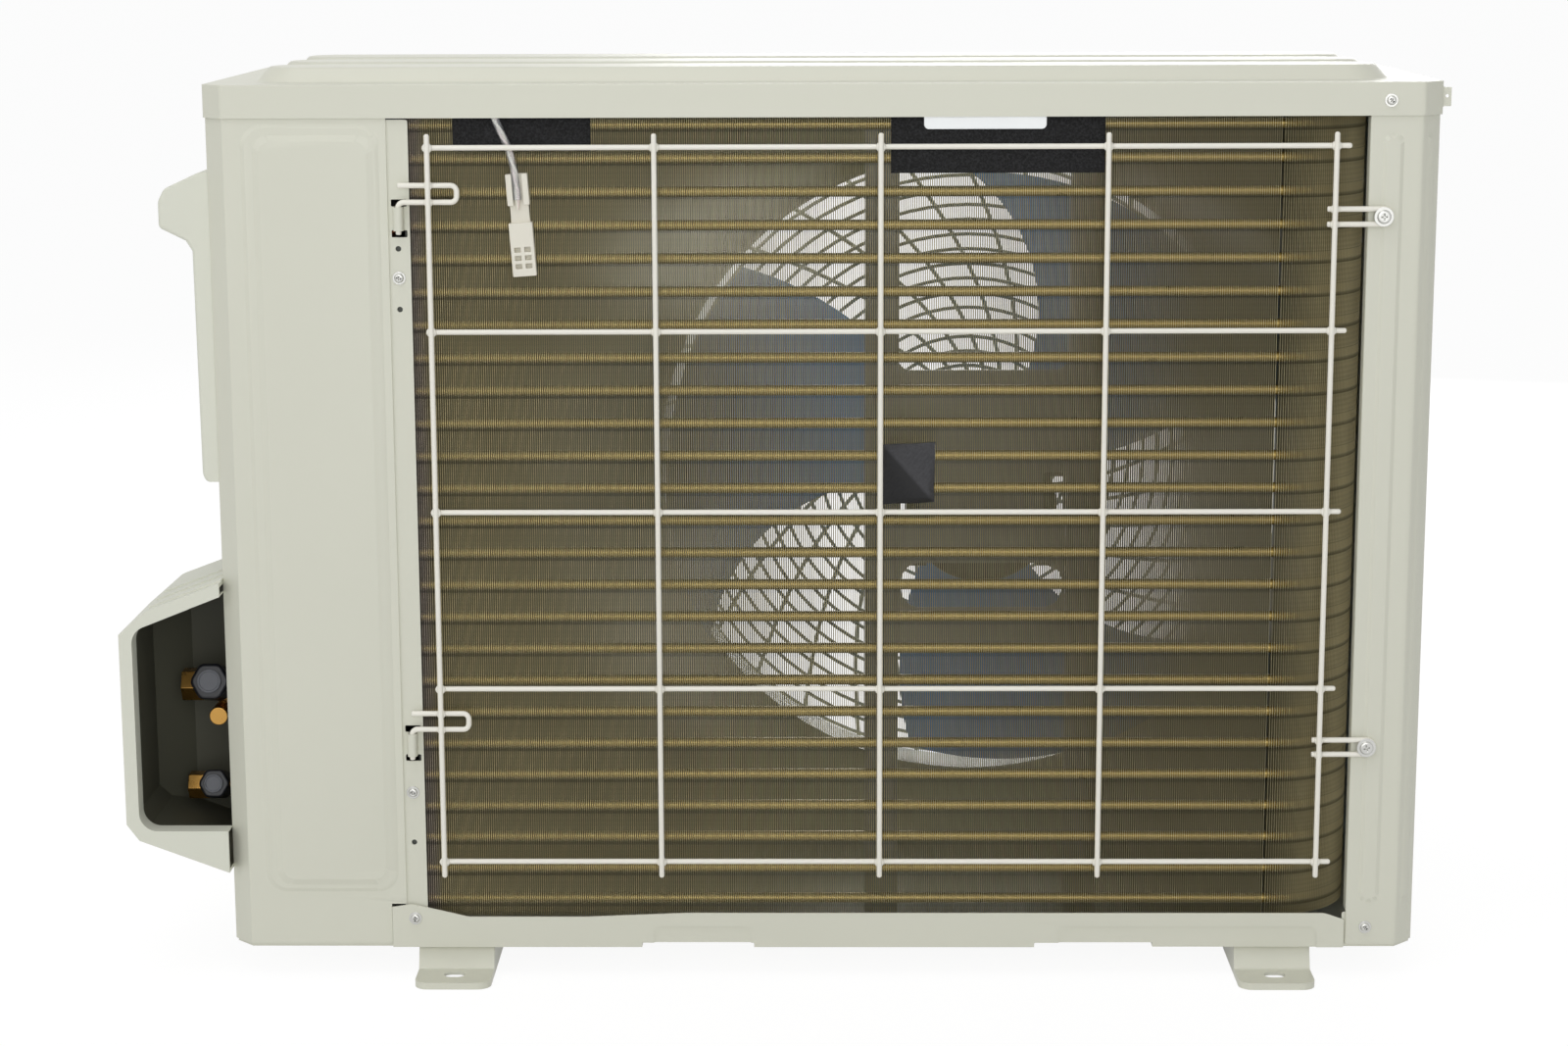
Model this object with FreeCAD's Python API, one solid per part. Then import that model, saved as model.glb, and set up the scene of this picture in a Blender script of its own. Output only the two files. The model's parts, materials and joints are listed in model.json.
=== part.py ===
import FreeCAD, Part
import math
import os

# Outdoor condensing unit of a small split air conditioner, in millimetres.
# X runs along the width, towards the coil side. Y runs from the coil face at the rear to the
# air outlet at the front. Z is up. The origin is on the floor, in the middle of the foot bolts.

V = FreeCAD.Vector

# Cabinet
body_width = 784.0
body_depth = 266.0
body_offset_x = -27.5
base_bottom = 20.0
base_flange_height = 23.5
rim_bottom = 565.0
rim_height = 21.0
bead_rise = 9.5
bead_width = 62.0
bead_step = 78.0
bead_end_margin = 29.0
corner_chamfer = 13.5
sheet = 1.0
pan_sheet = 1.2
lap = 0.3
valve_bay_width = 131.2
coil_flange_width = 47.3
strip_width = 13.7
front_return = 25.0
lap_overlap = 10.0
panel_frame_rise = 1.0
panel_field_rise = 1.3
bead_height = 1.2
corner_bead_height = 0.9
front_field_rise = 2.5
side_slot_rows = 20
side_slot_height = 8.0
side_slot_step = 22.0
side_slot_bottom = 92.0
plastic_wall = 2.2

# Feet
foot_spacing_x = 540.0
foot_spacing_y = 286.0
foot_width = 50.0
foot_length = 320.0
foot_sheet = 2.0
foot_tab_top = 4.5
foot_slope_run = 6.0
foot_end_radius = 9.0
slot_width = 10.0
slot_length = 14.0

# Coil
tube_diameter = 7.0
tube_rows = 25
fin_depth = 13.3
fin_rear_gap = 7.5
coil_bottom = 39.2
coil_bend_outer = 60.0
coil_side_inset = 40.0
coil_front_gap = 45.0
end_plate = 1.2
foam_thickness = 3.0
pad_thickness = 2.5

# Fan and motor
fan_x = 78.3
fan_z = 304.0
fan_radius = 214.5
tip_clearance = 7.0
outlet_bend = 11.0
throat_depth = 46.0
hub_radius = 42.0
hub_length = 62.0
hub_wall = 3.0
hub_boss_radius = 13.0
blade_count = 3
blade_height = 96.0
blade_span = 72.0
blade_lean = 21.0
blade_camber = 9.0
blade_thickness = 2.6
first_blade_angle = 185.0
fan_front_gap = 23.0
motor_radius = 50.0
motor_length = 68.5
shaft_radius = 4.0
shaft_clearance = 0.05
rail_offset = 66.5
rail_width = 22.0
rail_depth = 18.0
rail_gap = 16.7
ear_thickness = 3.0
hook_plate_width = 77.0
hook_plate_bottom = 557.2
motor_plate_z = (208.0, 397.0)

# Fan grille
grille_overlap = 5.5
grille_ring_count = 17
grille_spoke_count = 32
grille_disc_radius = 44.0
grille_swirl = 26.0
grille_depth = 14.0
grille_bar = 2.6
grille_spoke_depth = 3.0

# Rear wire guard
wire_radius = 1.75
weld_sink = 0.25
upright_count = 5
cross_wire_count = 5
guard_left_margin = 12.8
guard_right_margin = 21.7
guard_top_gap = 9.5
guard_bottom_gap = 26.0
wire_end = 9.5
hinge_inset = 6.7
hook_top_drop = 32.5
lower_hook_rise = 110.3
hook_drop = 10.6
hook_leg = 20.5
hook_reach = 32.0
guard_screw_inset = 9.3
screw_top_drop = 53.5
lower_screw_rise = 87.5
screw_loop_radius = 4.8
hinge_clearance = 0.4
strap_height = 15.0

# Service valves, their plate and the covers over them
valve_out = 19.0
valve_y = -43.0
valve_stub = 24.5
gas_valve_z = 177.0
liquid_valve_z = 106.0
port_tilt = 17.0
neck_length = 18.0
nut_length = 22.0
nut_gap = 3.0
stem_length = 10.0
cap_length = 15.0
valve_opening = (-118.0, -12.0, 86.0, 250.0)
cover_front_y = -15.0
cover_lip_depth = 14.0
cover_rib_height = 0.9
terminal_opening = (-92.0, 4.0, 348.0, 474.0)
terminal_cover_y = (-118.0, 30.0)
terminal_block_y = (-82.0, -6.0)
terminal_block_z = (392.0, 424.0)
terminal_ways = 6
box_floor_z = 484.0
box_top_z = 566.0

# Compressor and its fittings
compressor_in = 89.5
compressor_y = 40.0
compressor_radius = 58.0
compressor_bottom = 38.0
compressor_height = 236.0
compressor_dome = 22.0
compressor_foot_radius = 75.0
stud_radius = 3.0
grommet_radius = 12.0
grommet_neck = 9.0
grommet_seat = 33.0
foot_plate = 3.0
accumulator_in = 171.5
accumulator_y = 80.0
accumulator_radius = 25.0
accumulator_z = (76.0, 232.0)
four_way_in = 119.5
four_way_y = 35.0
four_way_z = 370.0
expansion_in = 44.5
expansion_y = -95.0
partition_reach = 112.0

# Air sensor on the coil
sensor_x = -218.0
sensor_tilt = 4.0
sensor_z = (465.0, 530.0)
sensor_depth = 7.0

# Cabinet screws and running fits
screw_radius = 1.9
screw_head_radius = 4.2
screw_head_height = 2.2
screw_length = 9.0
screw_hole_radius = 2.1
upper_screw_z = 574.6
lower_screw_z = 33.7
thread_clearance = 0.08

# Places worked out from the sizes above
x_left = body_offset_x - body_width / 2
x_right = body_offset_x + body_width / 2
y_rear = -body_depth / 2
y_front = body_depth / 2
rim_top = rim_bottom + rim_height
base_flange_top = base_bottom + base_flange_height
pan_floor = base_bottom + pan_sheet
panel_inset = sheet + lap
pan_inset = 2 * (sheet + lap)
panel_rear = y_rear + panel_inset
panel_left = x_left + panel_inset
panel_top = rim_top - sheet - 3.0
panel_bottom = base_bottom + 2.0
strip_rear = panel_rear + panel_inset
rear_opening_left = x_left + valve_bay_width
rear_opening_right = x_right - coil_flange_width
coil_rear = y_rear + fin_rear_gap
coil_front = coil_rear + fin_depth
coil_top = rim_bottom + 5.45
tube_pitch = (coil_top - coil_bottom) / tube_rows
coil_left = rear_opening_left - 2.5
coil_side_face = x_right - coil_side_inset
coil_side_end = y_front - coil_front_gap
tube_y = coil_rear + fin_depth / 2
tube_x = coil_side_face - fin_depth / 2
foam_y = (coil_rear - foam_thickness, coil_rear)
bracket_y = (coil_front + rail_gap, coil_front + rail_gap + rail_depth)
throat_radius = fan_radius + tip_clearance
lip_radius = throat_radius + outlet_bend
fan_rear_y = y_front - fan_front_gap - blade_height
hub_rear_y = fan_rear_y + (blade_height - hub_length) / 2
hub_front_y = hub_rear_y + hub_length
shaft_end_y = hub_front_y + 10.0
motor_rear_y = bracket_y[1] + 1.0
motor_front_y = motor_rear_y + motor_length
grille_radius = lip_radius + grille_overlap
grille_back = y_front - panel_inset
grille_front = grille_back + grille_depth
spoke_back = grille_front - grille_spoke_depth
guard_cross_y = y_rear - wire_radius
guard_upright_y = guard_cross_y - 2 * wire_radius + weld_sink
first_upright = rear_opening_left + guard_left_margin
last_upright = rear_opening_right - guard_right_margin
upright_step = (last_upright - first_upright) / (upright_count - 1)
upright_x = [first_upright + upright_step * index for index in range(upright_count)]
guard_bottom = base_flange_top + guard_bottom_gap
guard_top = rim_bottom - guard_top_gap
cross_step = (guard_top - guard_bottom - 2 * wire_end) / (cross_wire_count - 1)
cross_z = [guard_bottom + wire_end + 0.6 + cross_step * index for index in range(cross_wire_count)]
hinge_x = rear_opening_left - hinge_inset
hook_tops = (guard_top - hook_top_drop, guard_bottom + lower_hook_rise)
hook_right = hinge_x + hook_reach
guard_screw_x = rear_opening_right + guard_screw_inset
guard_screw_z = (guard_top - screw_top_drop, guard_bottom + lower_screw_rise)
valve_x = x_left - valve_out
valve_flange_face = x_left + pan_inset + pan_sheet + 0.1
terminal_back = panel_left + 6.0
compressor_x = x_left + compressor_in
accumulator_x = x_left + accumulator_in
four_way_x = x_left + four_way_in
expansion_x = x_left + expansion_in
partition_x = coil_left - end_plate
partition_end_x = partition_x + partition_reach - 10.0


def block(x, y, z):
    """A box from three pairs of limits."""
    return Part.makeBox(x[1] - x[0], y[1] - y[0], z[1] - z[0], V(x[0], y[0], z[0]))


def rod(start, end, radius):
    """A cylinder between two points."""
    axis = end - start
    return Part.makeCylinder(radius, axis.Length, start, axis)


def bush(start, end, outer, inner):
    """A tube between two points."""
    return rod(start, end, outer).cut(rod(start, end, inner))


def hex_bar(start, end, across_flats):
    """A six-sided bar between two points."""
    axis = end - start
    side = V(0, 0, 1).cross(axis)
    if side.Length < 1e-6:
        side = V(1, 0, 0)
    side.normalize()
    corner_radius = across_flats / math.sqrt(3)
    corners = []
    for index in range(7):
        turn = FreeCAD.Rotation(axis, 60.0 * index)
        corners.append(start + turn.multVec(side * corner_radius))
    return Part.Face(Part.makePolygon(corners)).extrude(axis)


def tangent_wire(points, radius, closed):
    """Straight runs through the points, joined by tangent arcs."""
    count = len(points)
    corners = range(count) if closed else range(1, count - 1)
    edges = []
    cursor = None if closed else points[0]
    first_entry = None
    for index in corners:
        corner = points[index]
        back = (points[index - 1] - corner).normalize()
        ahead = (points[(index + 1) % count] - corner).normalize()
        half = back.getAngle(ahead) / 2
        cut = radius / math.tan(half)
        entry = corner + back * cut
        leave = corner + ahead * cut
        middle = corner + (back + ahead).normalize() * (radius / math.sin(half) - radius)
        if cursor is None:
            first_entry = entry
        elif (entry - cursor).Length > 1e-4:
            edges.append(Part.LineSegment(cursor, entry).toShape())
        edges.append(Part.Arc(entry, middle, leave).toShape())
        cursor = leave
    end = first_entry if closed else points[-1]
    if (end - cursor).Length > 1e-4:
        edges.append(Part.LineSegment(cursor, end).toShape())
    return Part.Wire(edges)


def lift(points, plane, level):
    """Flat points placed in the xy, xz or yz plane at a level."""
    if plane == "xy":
        return [V(a, b, level) for a, b in points]
    if plane == "xz":
        return [V(a, level, b) for a, b in points]
    return [V(level, a, b) for a, b in points]


def slab(points, plane, low, high, radius=0.0):
    """A flat outline drawn out square to its plane, with rounded corners where a radius is given."""
    corners = lift(points, plane, low)
    if radius > 0:
        wire = tangent_wire(corners, radius, True)
    else:
        wire = Part.makePolygon(corners + corners[:1])
    direction = {"xy": V(0, 0, 1), "xz": V(0, 1, 0), "yz": V(1, 0, 0)}[plane]
    return Part.Face(wire).extrude(direction * (high - low))


def rectangle(a0, a1, b0, b1):
    return [(a0, b0), (a1, b0), (a1, b1), (a0, b1)]


def pressing(limits, plane, foot, crown, slope, radius):
    """A raised field with sloping sides and rounded corners, from its foot level to its crown."""
    a0, a1, b0, b1 = limits
    low = lift(rectangle(a0, a1, b0, b1), plane, foot)
    high = lift(rectangle(a0 + slope, a1 - slope, b0 + slope, b1 - slope), plane, crown)
    wires = [tangent_wire(low, radius, True), tangent_wire(high, radius - slope / 2, True)]
    return Part.makeLoft(wires, True, True)


def pipe(points, bend, radius):
    """A bent pipe: straight runs joined by tangent arcs, filled with its section."""
    places = [V(*point) for point in points]
    path = tangent_wire(places, bend, False)
    circle = Part.Circle(places[0], places[1] - places[0], radius).toShape()
    solid = path.makePipe(Part.Face(Part.Wire(circle)))
    return solid.Solids[0] if solid.Solids else solid


def corner_outline(inset):
    """The cabinet's plan with its four corners cut off, set in from the rim by a given amount."""
    left, right = x_left + inset, x_right - inset
    rear, front = y_rear + inset, y_front - inset
    cut = corner_chamfer - inset * (2 - math.sqrt(2))
    return [(left + cut, rear), (right - cut, rear), (right, rear + cut), (right, front - cut),
            (right - cut, front), (left + cut, front), (left, front - cut), (left, rear + cut)]


def cabinet_block(inset, low, high):
    return slab(corner_outline(inset), "xy", low, high)


# Cabinet screws: a place on the outer face of the outermost sheet and the way the shank points
rear_screws = [
    (V(x_right - 35.1, y_rear, upper_screw_z), V(0, 1, 0)),
    (V(x_right - 34.2, panel_rear, lower_screw_z), V(0, 1, 0)),
    (V(rear_opening_left - 7.7, strip_rear, 464.0), V(0, 1, 0)),
    (V(rear_opening_left - 7.7, strip_rear, 125.4), V(0, 1, 0)),
    (V(rear_opening_left - 8.0, y_rear, 40.0), V(0, 1, 0)),
]
side_screws = []
for side_y in (-85.0, 60.0):
    side_screws.append((V(x_left, side_y, upper_screw_z), V(1, 0, 0)))
    side_screws.append((V(x_right, side_y, upper_screw_z), V(-1, 0, 0)))
    side_screws.append((V(x_right - panel_inset, side_y, lower_screw_z), V(-1, 0, 0)))
side_screws.append((V(panel_left, 60.0, lower_screw_z), V(1, 0, 0)))
front_screws = []
for front_x in (x_left + 119.5, x_right - 64.5):
    front_screws.append((V(front_x, y_front, upper_screw_z), V(0, -1, 0)))
    front_screws.append((V(front_x, y_front - panel_inset, lower_screw_z), V(0, -1, 0)))
cabinet_screw_places = rear_screws + side_screws + front_screws


def screw(place, direction):
    """A pan-headed screw whose head sits on the sheet."""
    head = rod(place - direction * screw_head_height, place, screw_head_radius)
    return head.fuse(rod(place, place + direction * screw_length, screw_radius)).removeSplitter()


def drill(shape):
    """Clears every cabinet screw's hole in a sheet."""
    for place, direction in cabinet_screw_places:
        hole = rod(place - direction, place + direction * (screw_length + 2), screw_hole_radius)
        if hole.BoundBox.intersect(shape.BoundBox):
            shape = shape.cut(hole)
    return shape


def make_base_pan():
    """Pan with an upstand all round, a wider rear lip, raised notches, ribs and drain holes."""
    lip = (rear_opening_left - 23.2, rear_opening_right - 1.0)
    lip_depth = 33.0
    above = base_flange_top + 8
    tab = (lip[0] + 13.0, rear_opening_left + 10.0)
    dip = (rear_opening_left + 27.0, rear_opening_left + 106.0)
    lip_outline = [(lip[0], base_bottom), (lip[0], base_flange_top + 4), (tab[0], base_flange_top + 6),
                   (tab[1], base_flange_top + 1.5), (dip[0], base_flange_top - 2.6),
                   (dip[1], base_flange_top - 2.6), (dip[1] + 65, base_flange_top),
                   (lip[1] - 13, base_flange_top), (lip[1], base_flange_top - 4.4), (lip[1], base_bottom)]
    outer = cabinet_block(pan_inset, base_bottom, base_flange_top)
    outer = outer.fuse(slab(lip_outline, "xz", y_rear, y_rear + lip_depth))
    inner = cabinet_block(pan_inset + pan_sheet, pan_floor, above)
    inner = inner.fuse(block((lip[0] + pan_sheet, lip[1] - pan_sheet),
                             (y_rear + pan_sheet, y_rear + lip_depth), (pan_floor, above)))
    notch_rise = 3.0
    notch_end = y_rear + lip_depth + 2.0
    for left, right in ((-146.5, -72.5), (112.5, 190.5)):
        under = block((left, right), (y_rear - 1, notch_end), (base_bottom - 1, base_bottom + notch_rise))
        over = block((left - pan_sheet, right + pan_sheet), (y_rear - 1, notch_end + pan_sheet),
                     (pan_floor - 1, pan_floor + notch_rise))
        outer = outer.cut(under)
        inner = inner.cut(over)
    recess = 1.3
    recess_top = base_flange_top - 9.0
    for left, right in ((-139.0, -74.0), (128.0, 299.0)):
        limits = (left, right, base_bottom - 20, recess_top)
        grown = (left - pan_sheet, right + pan_sheet, base_bottom - 20, recess_top + pan_sheet)
        outer = outer.cut(pressing(limits, "xz", y_rear, y_rear + recess, recess, 5.0))
        inner = inner.cut(pressing(grown, "xz", y_rear + pan_sheet, y_rear + pan_sheet + recess, recess, 5.0))
    rib_rise = 5.0
    rib_slope = 5.0
    rib_length = 150.0
    rib_y = (-40.0, 60.0)
    for left in (fan_x - 188.3, fan_x + 31.7):
        limits = (left, left + rib_length, rib_y[0], rib_y[1])
        grown = (limits[0] - pan_sheet, limits[1] + pan_sheet, limits[2] - pan_sheet, limits[3] + pan_sheet)
        outer = outer.cut(pressing(limits, "xy", base_bottom, base_bottom + rib_rise, rib_slope, 14.0))
        inner = inner.cut(pressing(grown, "xy", pan_floor, pan_floor + rib_rise, rib_slope, 14.0))
    pan = outer.cut(inner)
    drain_y = y_rear + 58.0
    drains = [(75.0, 12.5), (-40.0, 5.0), (-15.0, 5.0), (215.0, 5.0), (245.0, 5.0)]
    for drain_x, radius in drains:
        pan = pan.cut(rod(V(drain_x, drain_y, base_bottom - 1), V(drain_x, drain_y, pan_floor + 8), radius))
    return drill(pan)


def make_foot(centre_x):
    """A pressed channel, open below, with a low tab at each end and a slot in each tab."""
    half = foot_length / 2
    shoulder = body_depth / 2 - 1.0
    profile = [(-half, 0), (-half, foot_tab_top), (-shoulder, foot_tab_top),
               (-shoulder + foot_slope_run, base_bottom), (shoulder - foot_slope_run, base_bottom),
               (shoulder, foot_tab_top), (half, foot_tab_top), (half, 0)]
    t = foot_sheet
    hollow = [(-half + t, -1), (-half + t, foot_tab_top - t), (-shoulder + t, foot_tab_top - t),
              (-shoulder + foot_slope_run + t, base_bottom - t),
              (shoulder - foot_slope_run - t, base_bottom - t), (shoulder - t, foot_tab_top - t),
              (half - t, foot_tab_top - t), (half - t, -1)]
    wide = foot_width / 2
    foot = slab(profile, "yz", centre_x - wide, centre_x + wide)
    foot = foot.common(slab(rectangle(centre_x - wide, centre_x + wide, -half, half), "xy",
                            -1, base_bottom + 1, foot_end_radius))
    inside = slab(hollow, "yz", centre_x - wide + t, centre_x + wide - t)
    inside = inside.common(slab(rectangle(centre_x - wide + t, centre_x + wide - t, -half + t, half - t),
                                "xy", -2, base_bottom + 1, foot_end_radius - t))
    foot = foot.cut(inside)
    straight = (slot_length - slot_width) / 2
    for slot_y in (-foot_spacing_y / 2, foot_spacing_y / 2):
        radius = slot_width / 2
        slot = slab(rectangle(centre_x - straight - radius, centre_x + straight + radius,
                              slot_y - radius, slot_y + radius), "xy", -1, foot_tab_top + 2, radius - 0.001)
        foot = foot.cut(slot)
    return foot


def strap_places():
    """Bottom and top of each lanced strap that holds a guard hook."""
    return [(top - hook_drop - 3.0 - strap_height, top - hook_drop - 3.0) for top in hook_tops]


def make_valve_side_panel():
    """Rear corner and side sheet, with a stepped field, the hinge strip and two side openings."""
    outer = cabinet_block(panel_inset, panel_bottom, panel_top)
    inner = cabinet_block(panel_inset + sheet, panel_bottom - 1, panel_top + 1)
    frame = (x_left + 25.3, rear_opening_left - 18.5, base_flange_top + 14.5, rim_bottom - 3.5)
    field = (frame[0] + 7.5, frame[1] - 3.7, frame[2] + 5.0, frame[3] - 7.0)
    step = panel_rear - panel_frame_rise
    crown = step - panel_field_rise
    outer = outer.fuse(pressing(frame, "xz", panel_rear, step, 2.5, 14.0))
    outer = outer.fuse(pressing(field, "xz", step, crown, 4.0, 10.0))
    inner = inner.fuse(pressing(frame, "xz", panel_rear + sheet, step + sheet, 2.5, 14.0))
    inner = inner.fuse(pressing(field, "xz", step + sheet, crown + sheet, 4.0, 10.0))
    skin = outer.cut(inner)
    strip_left = rear_opening_left - strip_width
    rear_part = block((x_left - 1, strip_left), (y_rear - 5, -100), (panel_bottom - 1, panel_top + 1))
    side_part = block((x_left - 1, x_left + 20), (-101, y_front - front_return - lap),
                      (panel_bottom - 1, panel_top + 1))
    panel = skin.common(rear_part.fuse(side_part))
    notch_top = base_flange_top + 6.0
    panel = panel.cut(block((rear_opening_left - 23.5, strip_left + 1), (y_rear - 5, -100),
                            (panel_bottom - 1, notch_top)))
    # Joggle, strip and the lap behind the front panel
    panel = panel.fuse(block((strip_left - sheet, strip_left), (panel_rear, strip_rear + sheet),
                             (notch_top, rim_bottom - 1)))
    panel = panel.fuse(block((strip_left - sheet, rear_opening_left), (strip_rear, strip_rear + sheet),
                             (panel_bottom + 3, rim_bottom - 1)))
    ledge = y_front - front_return
    lap_z = (base_flange_top + 2, panel_top)
    lap_ring = cabinet_block(pan_inset, lap_z[0], lap_z[1]).cut(
        cabinet_block(pan_inset + sheet, lap_z[0] - 1, lap_z[1] + 1))
    panel = panel.fuse(lap_ring.common(block((x_left - 1, x_left + 20),
                                             (ledge - lap_overlap, ledge + lap_overlap), lap_z)))
    panel = panel.fuse(block((panel_left, panel_left + panel_inset + sheet),
                             (ledge - lap_overlap, ledge - lap_overlap + 2), lap_z))
    # Straps lanced out of the strip, with a slot above and below each
    clear = wire_radius + hinge_clearance
    outside = clear + sheet
    for low, high in strap_places():
        panel = panel.cut(block((hinge_x - 5, hinge_x + 5), (strip_rear - 1, strip_rear + sheet + 1),
                                (low - 4.5, low)))
        panel = panel.cut(block((hinge_x - 5, hinge_x + 5), (strip_rear - 1, strip_rear + sheet + 1),
                                (high, high + 4.5)))
        strap = rod(V(hinge_x, guard_cross_y, low), V(hinge_x, guard_cross_y, high), outside)
        strap = strap.fuse(block((hinge_x - outside, hinge_x + outside),
                                 (guard_cross_y, strip_rear + sheet), (low, high)))
        panel = panel.fuse(strap)
        panel = panel.cut(rod(V(hinge_x, guard_cross_y, low - 1), V(hinge_x, guard_cross_y, high + 1), clear))
        panel = panel.cut(block((hinge_x - clear, hinge_x + clear), (guard_cross_y, strip_rear + sheet + 1),
                                (low - 1, high + 1)))
    for hole_z in (482.6, 443.9, 91.4):
        hole_x = rear_opening_left - 7.7
        panel = panel.cut(rod(V(hole_x, strip_rear - 1, hole_z), V(hole_x, strip_rear + 2, hole_z), 1.8))
    for limits in (valve_opening, terminal_opening):
        panel = panel.cut(slab(rectangle(*limits), "yz", x_left - 1, x_left + 6, 8.0))
    return drill(panel.removeSplitter())


def corner_bead(depth, low, high):
    """A narrow bead on the middle of the rear right cut corner, at a depth behind its face."""
    cut = corner_chamfer - panel_inset * (2 - math.sqrt(2))
    limits = (-3.2, 3.2, low, high)
    bead = pressing(limits, "xz", depth, depth - corner_bead_height, 1.5, 2.4)
    bead.rotate(V(0, 0, 0), V(0, 0, 1), 45)
    bead.translate(V(x_right - panel_inset - cut / 2, panel_rear + cut / 2, 0))
    return bead


def make_coil_side_panel():
    """Rear flange and cut corner with a raised bead on each, and a side sheet with rows of slots."""
    outer = cabinet_block(panel_inset, panel_bottom, panel_top)
    inner = cabinet_block(panel_inset + sheet, panel_bottom - 1, panel_top + 1)
    bead = (x_right - 39.2, x_right - 25.8, base_flange_top + 7.5, rim_bottom - 11.5)
    crown = panel_rear - bead_height
    outer = outer.fuse(pressing(bead, "xz", panel_rear, crown, 2.5, 5.0))
    inner = inner.fuse(pressing(bead, "xz", panel_rear + sheet, crown + sheet, 2.5, 5.0))
    outer = outer.fuse(corner_bead(0.0, bead[2], bead[3]))
    inner = inner.fuse(corner_bead(sheet, bead[2], bead[3]))
    skin = outer.cut(inner)
    region = block((rear_opening_right, x_right + 1), (y_rear - 5, y_front - front_return - lap),
                   (panel_bottom - 1, panel_top + 1))
    panel = skin.common(region)
    panel = panel.fuse(block((rear_opening_right, rear_opening_right + sheet),
                             (panel_rear, panel_rear + 9), (base_flange_top + 2, rim_bottom - 1)))
    slots = []
    for row in range(side_slot_rows):
        slot_z = side_slot_bottom + row * side_slot_step
        for low in (-88.0, -20.0):
            slots.append(block((x_right - 6, x_right + 1), (low, low + 60.0),
                               (slot_z, slot_z + side_slot_height)))
    panel = panel.cut(slots)
    ledge = y_front - front_return
    lap_z = (base_flange_top + 2, panel_top)
    lap_ring = cabinet_block(pan_inset, lap_z[0], lap_z[1]).cut(
        cabinet_block(pan_inset + sheet, lap_z[0] - 1, lap_z[1] + 1))
    panel = panel.fuse(lap_ring.common(block((x_right - 20, x_right + 1),
                                             (ledge - lap_overlap, ledge + lap_overlap), lap_z)))
    panel = panel.fuse(block((x_right - pan_inset - sheet, x_right - panel_inset),
                             (ledge - lap_overlap, ledge - lap_overlap + 2), lap_z))
    for screw_z in guard_screw_z:
        panel = panel.cut(rod(V(guard_screw_x, y_rear - 5, screw_z), V(guard_screw_x, y_rear + 13, screw_z),
                              screw_radius + 0.6))
    return drill(panel.removeSplitter())


def make_front_panel():
    """Front sheet with a raised field and the outlet, whose drawn lip guides the air."""
    outer = cabinet_block(panel_inset, panel_bottom, panel_top)
    inner = cabinet_block(panel_inset + sheet, panel_bottom - 1, panel_top + 1)
    face = y_front - panel_inset
    field = (x_left + 21.5, fan_x - lip_radius - 30.8, base_flange_top + 22.5, rim_bottom - 19.0)
    outer = outer.fuse(pressing(field, "xz", face, face + front_field_rise, 4.0, 16.0))
    inner = inner.fuse(pressing(field, "xz", face - sheet, face + front_field_rise - sheet, 4.0, 16.0))
    skin = outer.cut(inner)
    panel = skin.common(block((x_left - 1, x_right + 1), (y_front - front_return, y_front + 5),
                              (panel_bottom - 1, panel_top + 1)))
    opening = rod(V(fan_x, face - 5, fan_z), V(fan_x, face + 5, fan_z), lip_radius)
    panel = panel.cut(opening)
    # Section of the drawn lip, from the panel's face round into the throat and back
    t = sheet
    bend = outlet_bend
    throat_start = face - bend
    throat_end = face - throat_depth
    rim_radius = lip_radius + 0.5
    half_turn = math.radians(45)
    outer_mid = V(lip_radius - bend * math.sin(half_turn), face - bend * (1 - math.cos(half_turn)), 0)
    inner_mid = V(lip_radius - (bend - t) * math.sin(half_turn),
                  face - t - (bend - t) * (1 - math.cos(half_turn)), 0)
    corners = [V(rim_radius, face, 0), V(lip_radius, face, 0), V(throat_radius, throat_start, 0),
               V(throat_radius, throat_end, 0), V(throat_radius + t, throat_end, 0),
               V(throat_radius + t, throat_start, 0), V(lip_radius, face - t, 0), V(rim_radius, face - t, 0)]
    edges = [
        Part.LineSegment(corners[0], corners[1]).toShape(),
        Part.Arc(corners[1], outer_mid, corners[2]).toShape(),
        Part.LineSegment(corners[2], corners[3]).toShape(),
        Part.LineSegment(corners[3], corners[4]).toShape(),
        Part.LineSegment(corners[4], corners[5]).toShape(),
        Part.Arc(corners[5], inner_mid, corners[6]).toShape(),
        Part.LineSegment(corners[6], corners[7]).toShape(),
        Part.LineSegment(corners[7], corners[0]).toShape(),
    ]
    lip = Part.Face(Part.Wire(edges)).revolve(V(0, 0, 0), V(0, 1, 0), 360)
    lip.translate(V(fan_x, 0, fan_z))
    panel = panel.fuse(Part.Solid(lip) if lip.ShapeType == "Shell" else lip)
    for screw_x, screw_z in grille_screw_places():
        panel = panel.cut(rod(V(screw_x, face - 3, screw_z), V(screw_x, face + 3, screw_z),
                              screw_hole_radius))
    return drill(panel.removeSplitter())


def grille_screw_places():
    """Four screws on the grille's rim, on the diagonals."""
    reach = (grille_radius + 5.0) / math.sqrt(2)
    return [(fan_x + a * reach, fan_z + b * reach) for a in (-1, 1) for b in (-1, 1)]


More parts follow.
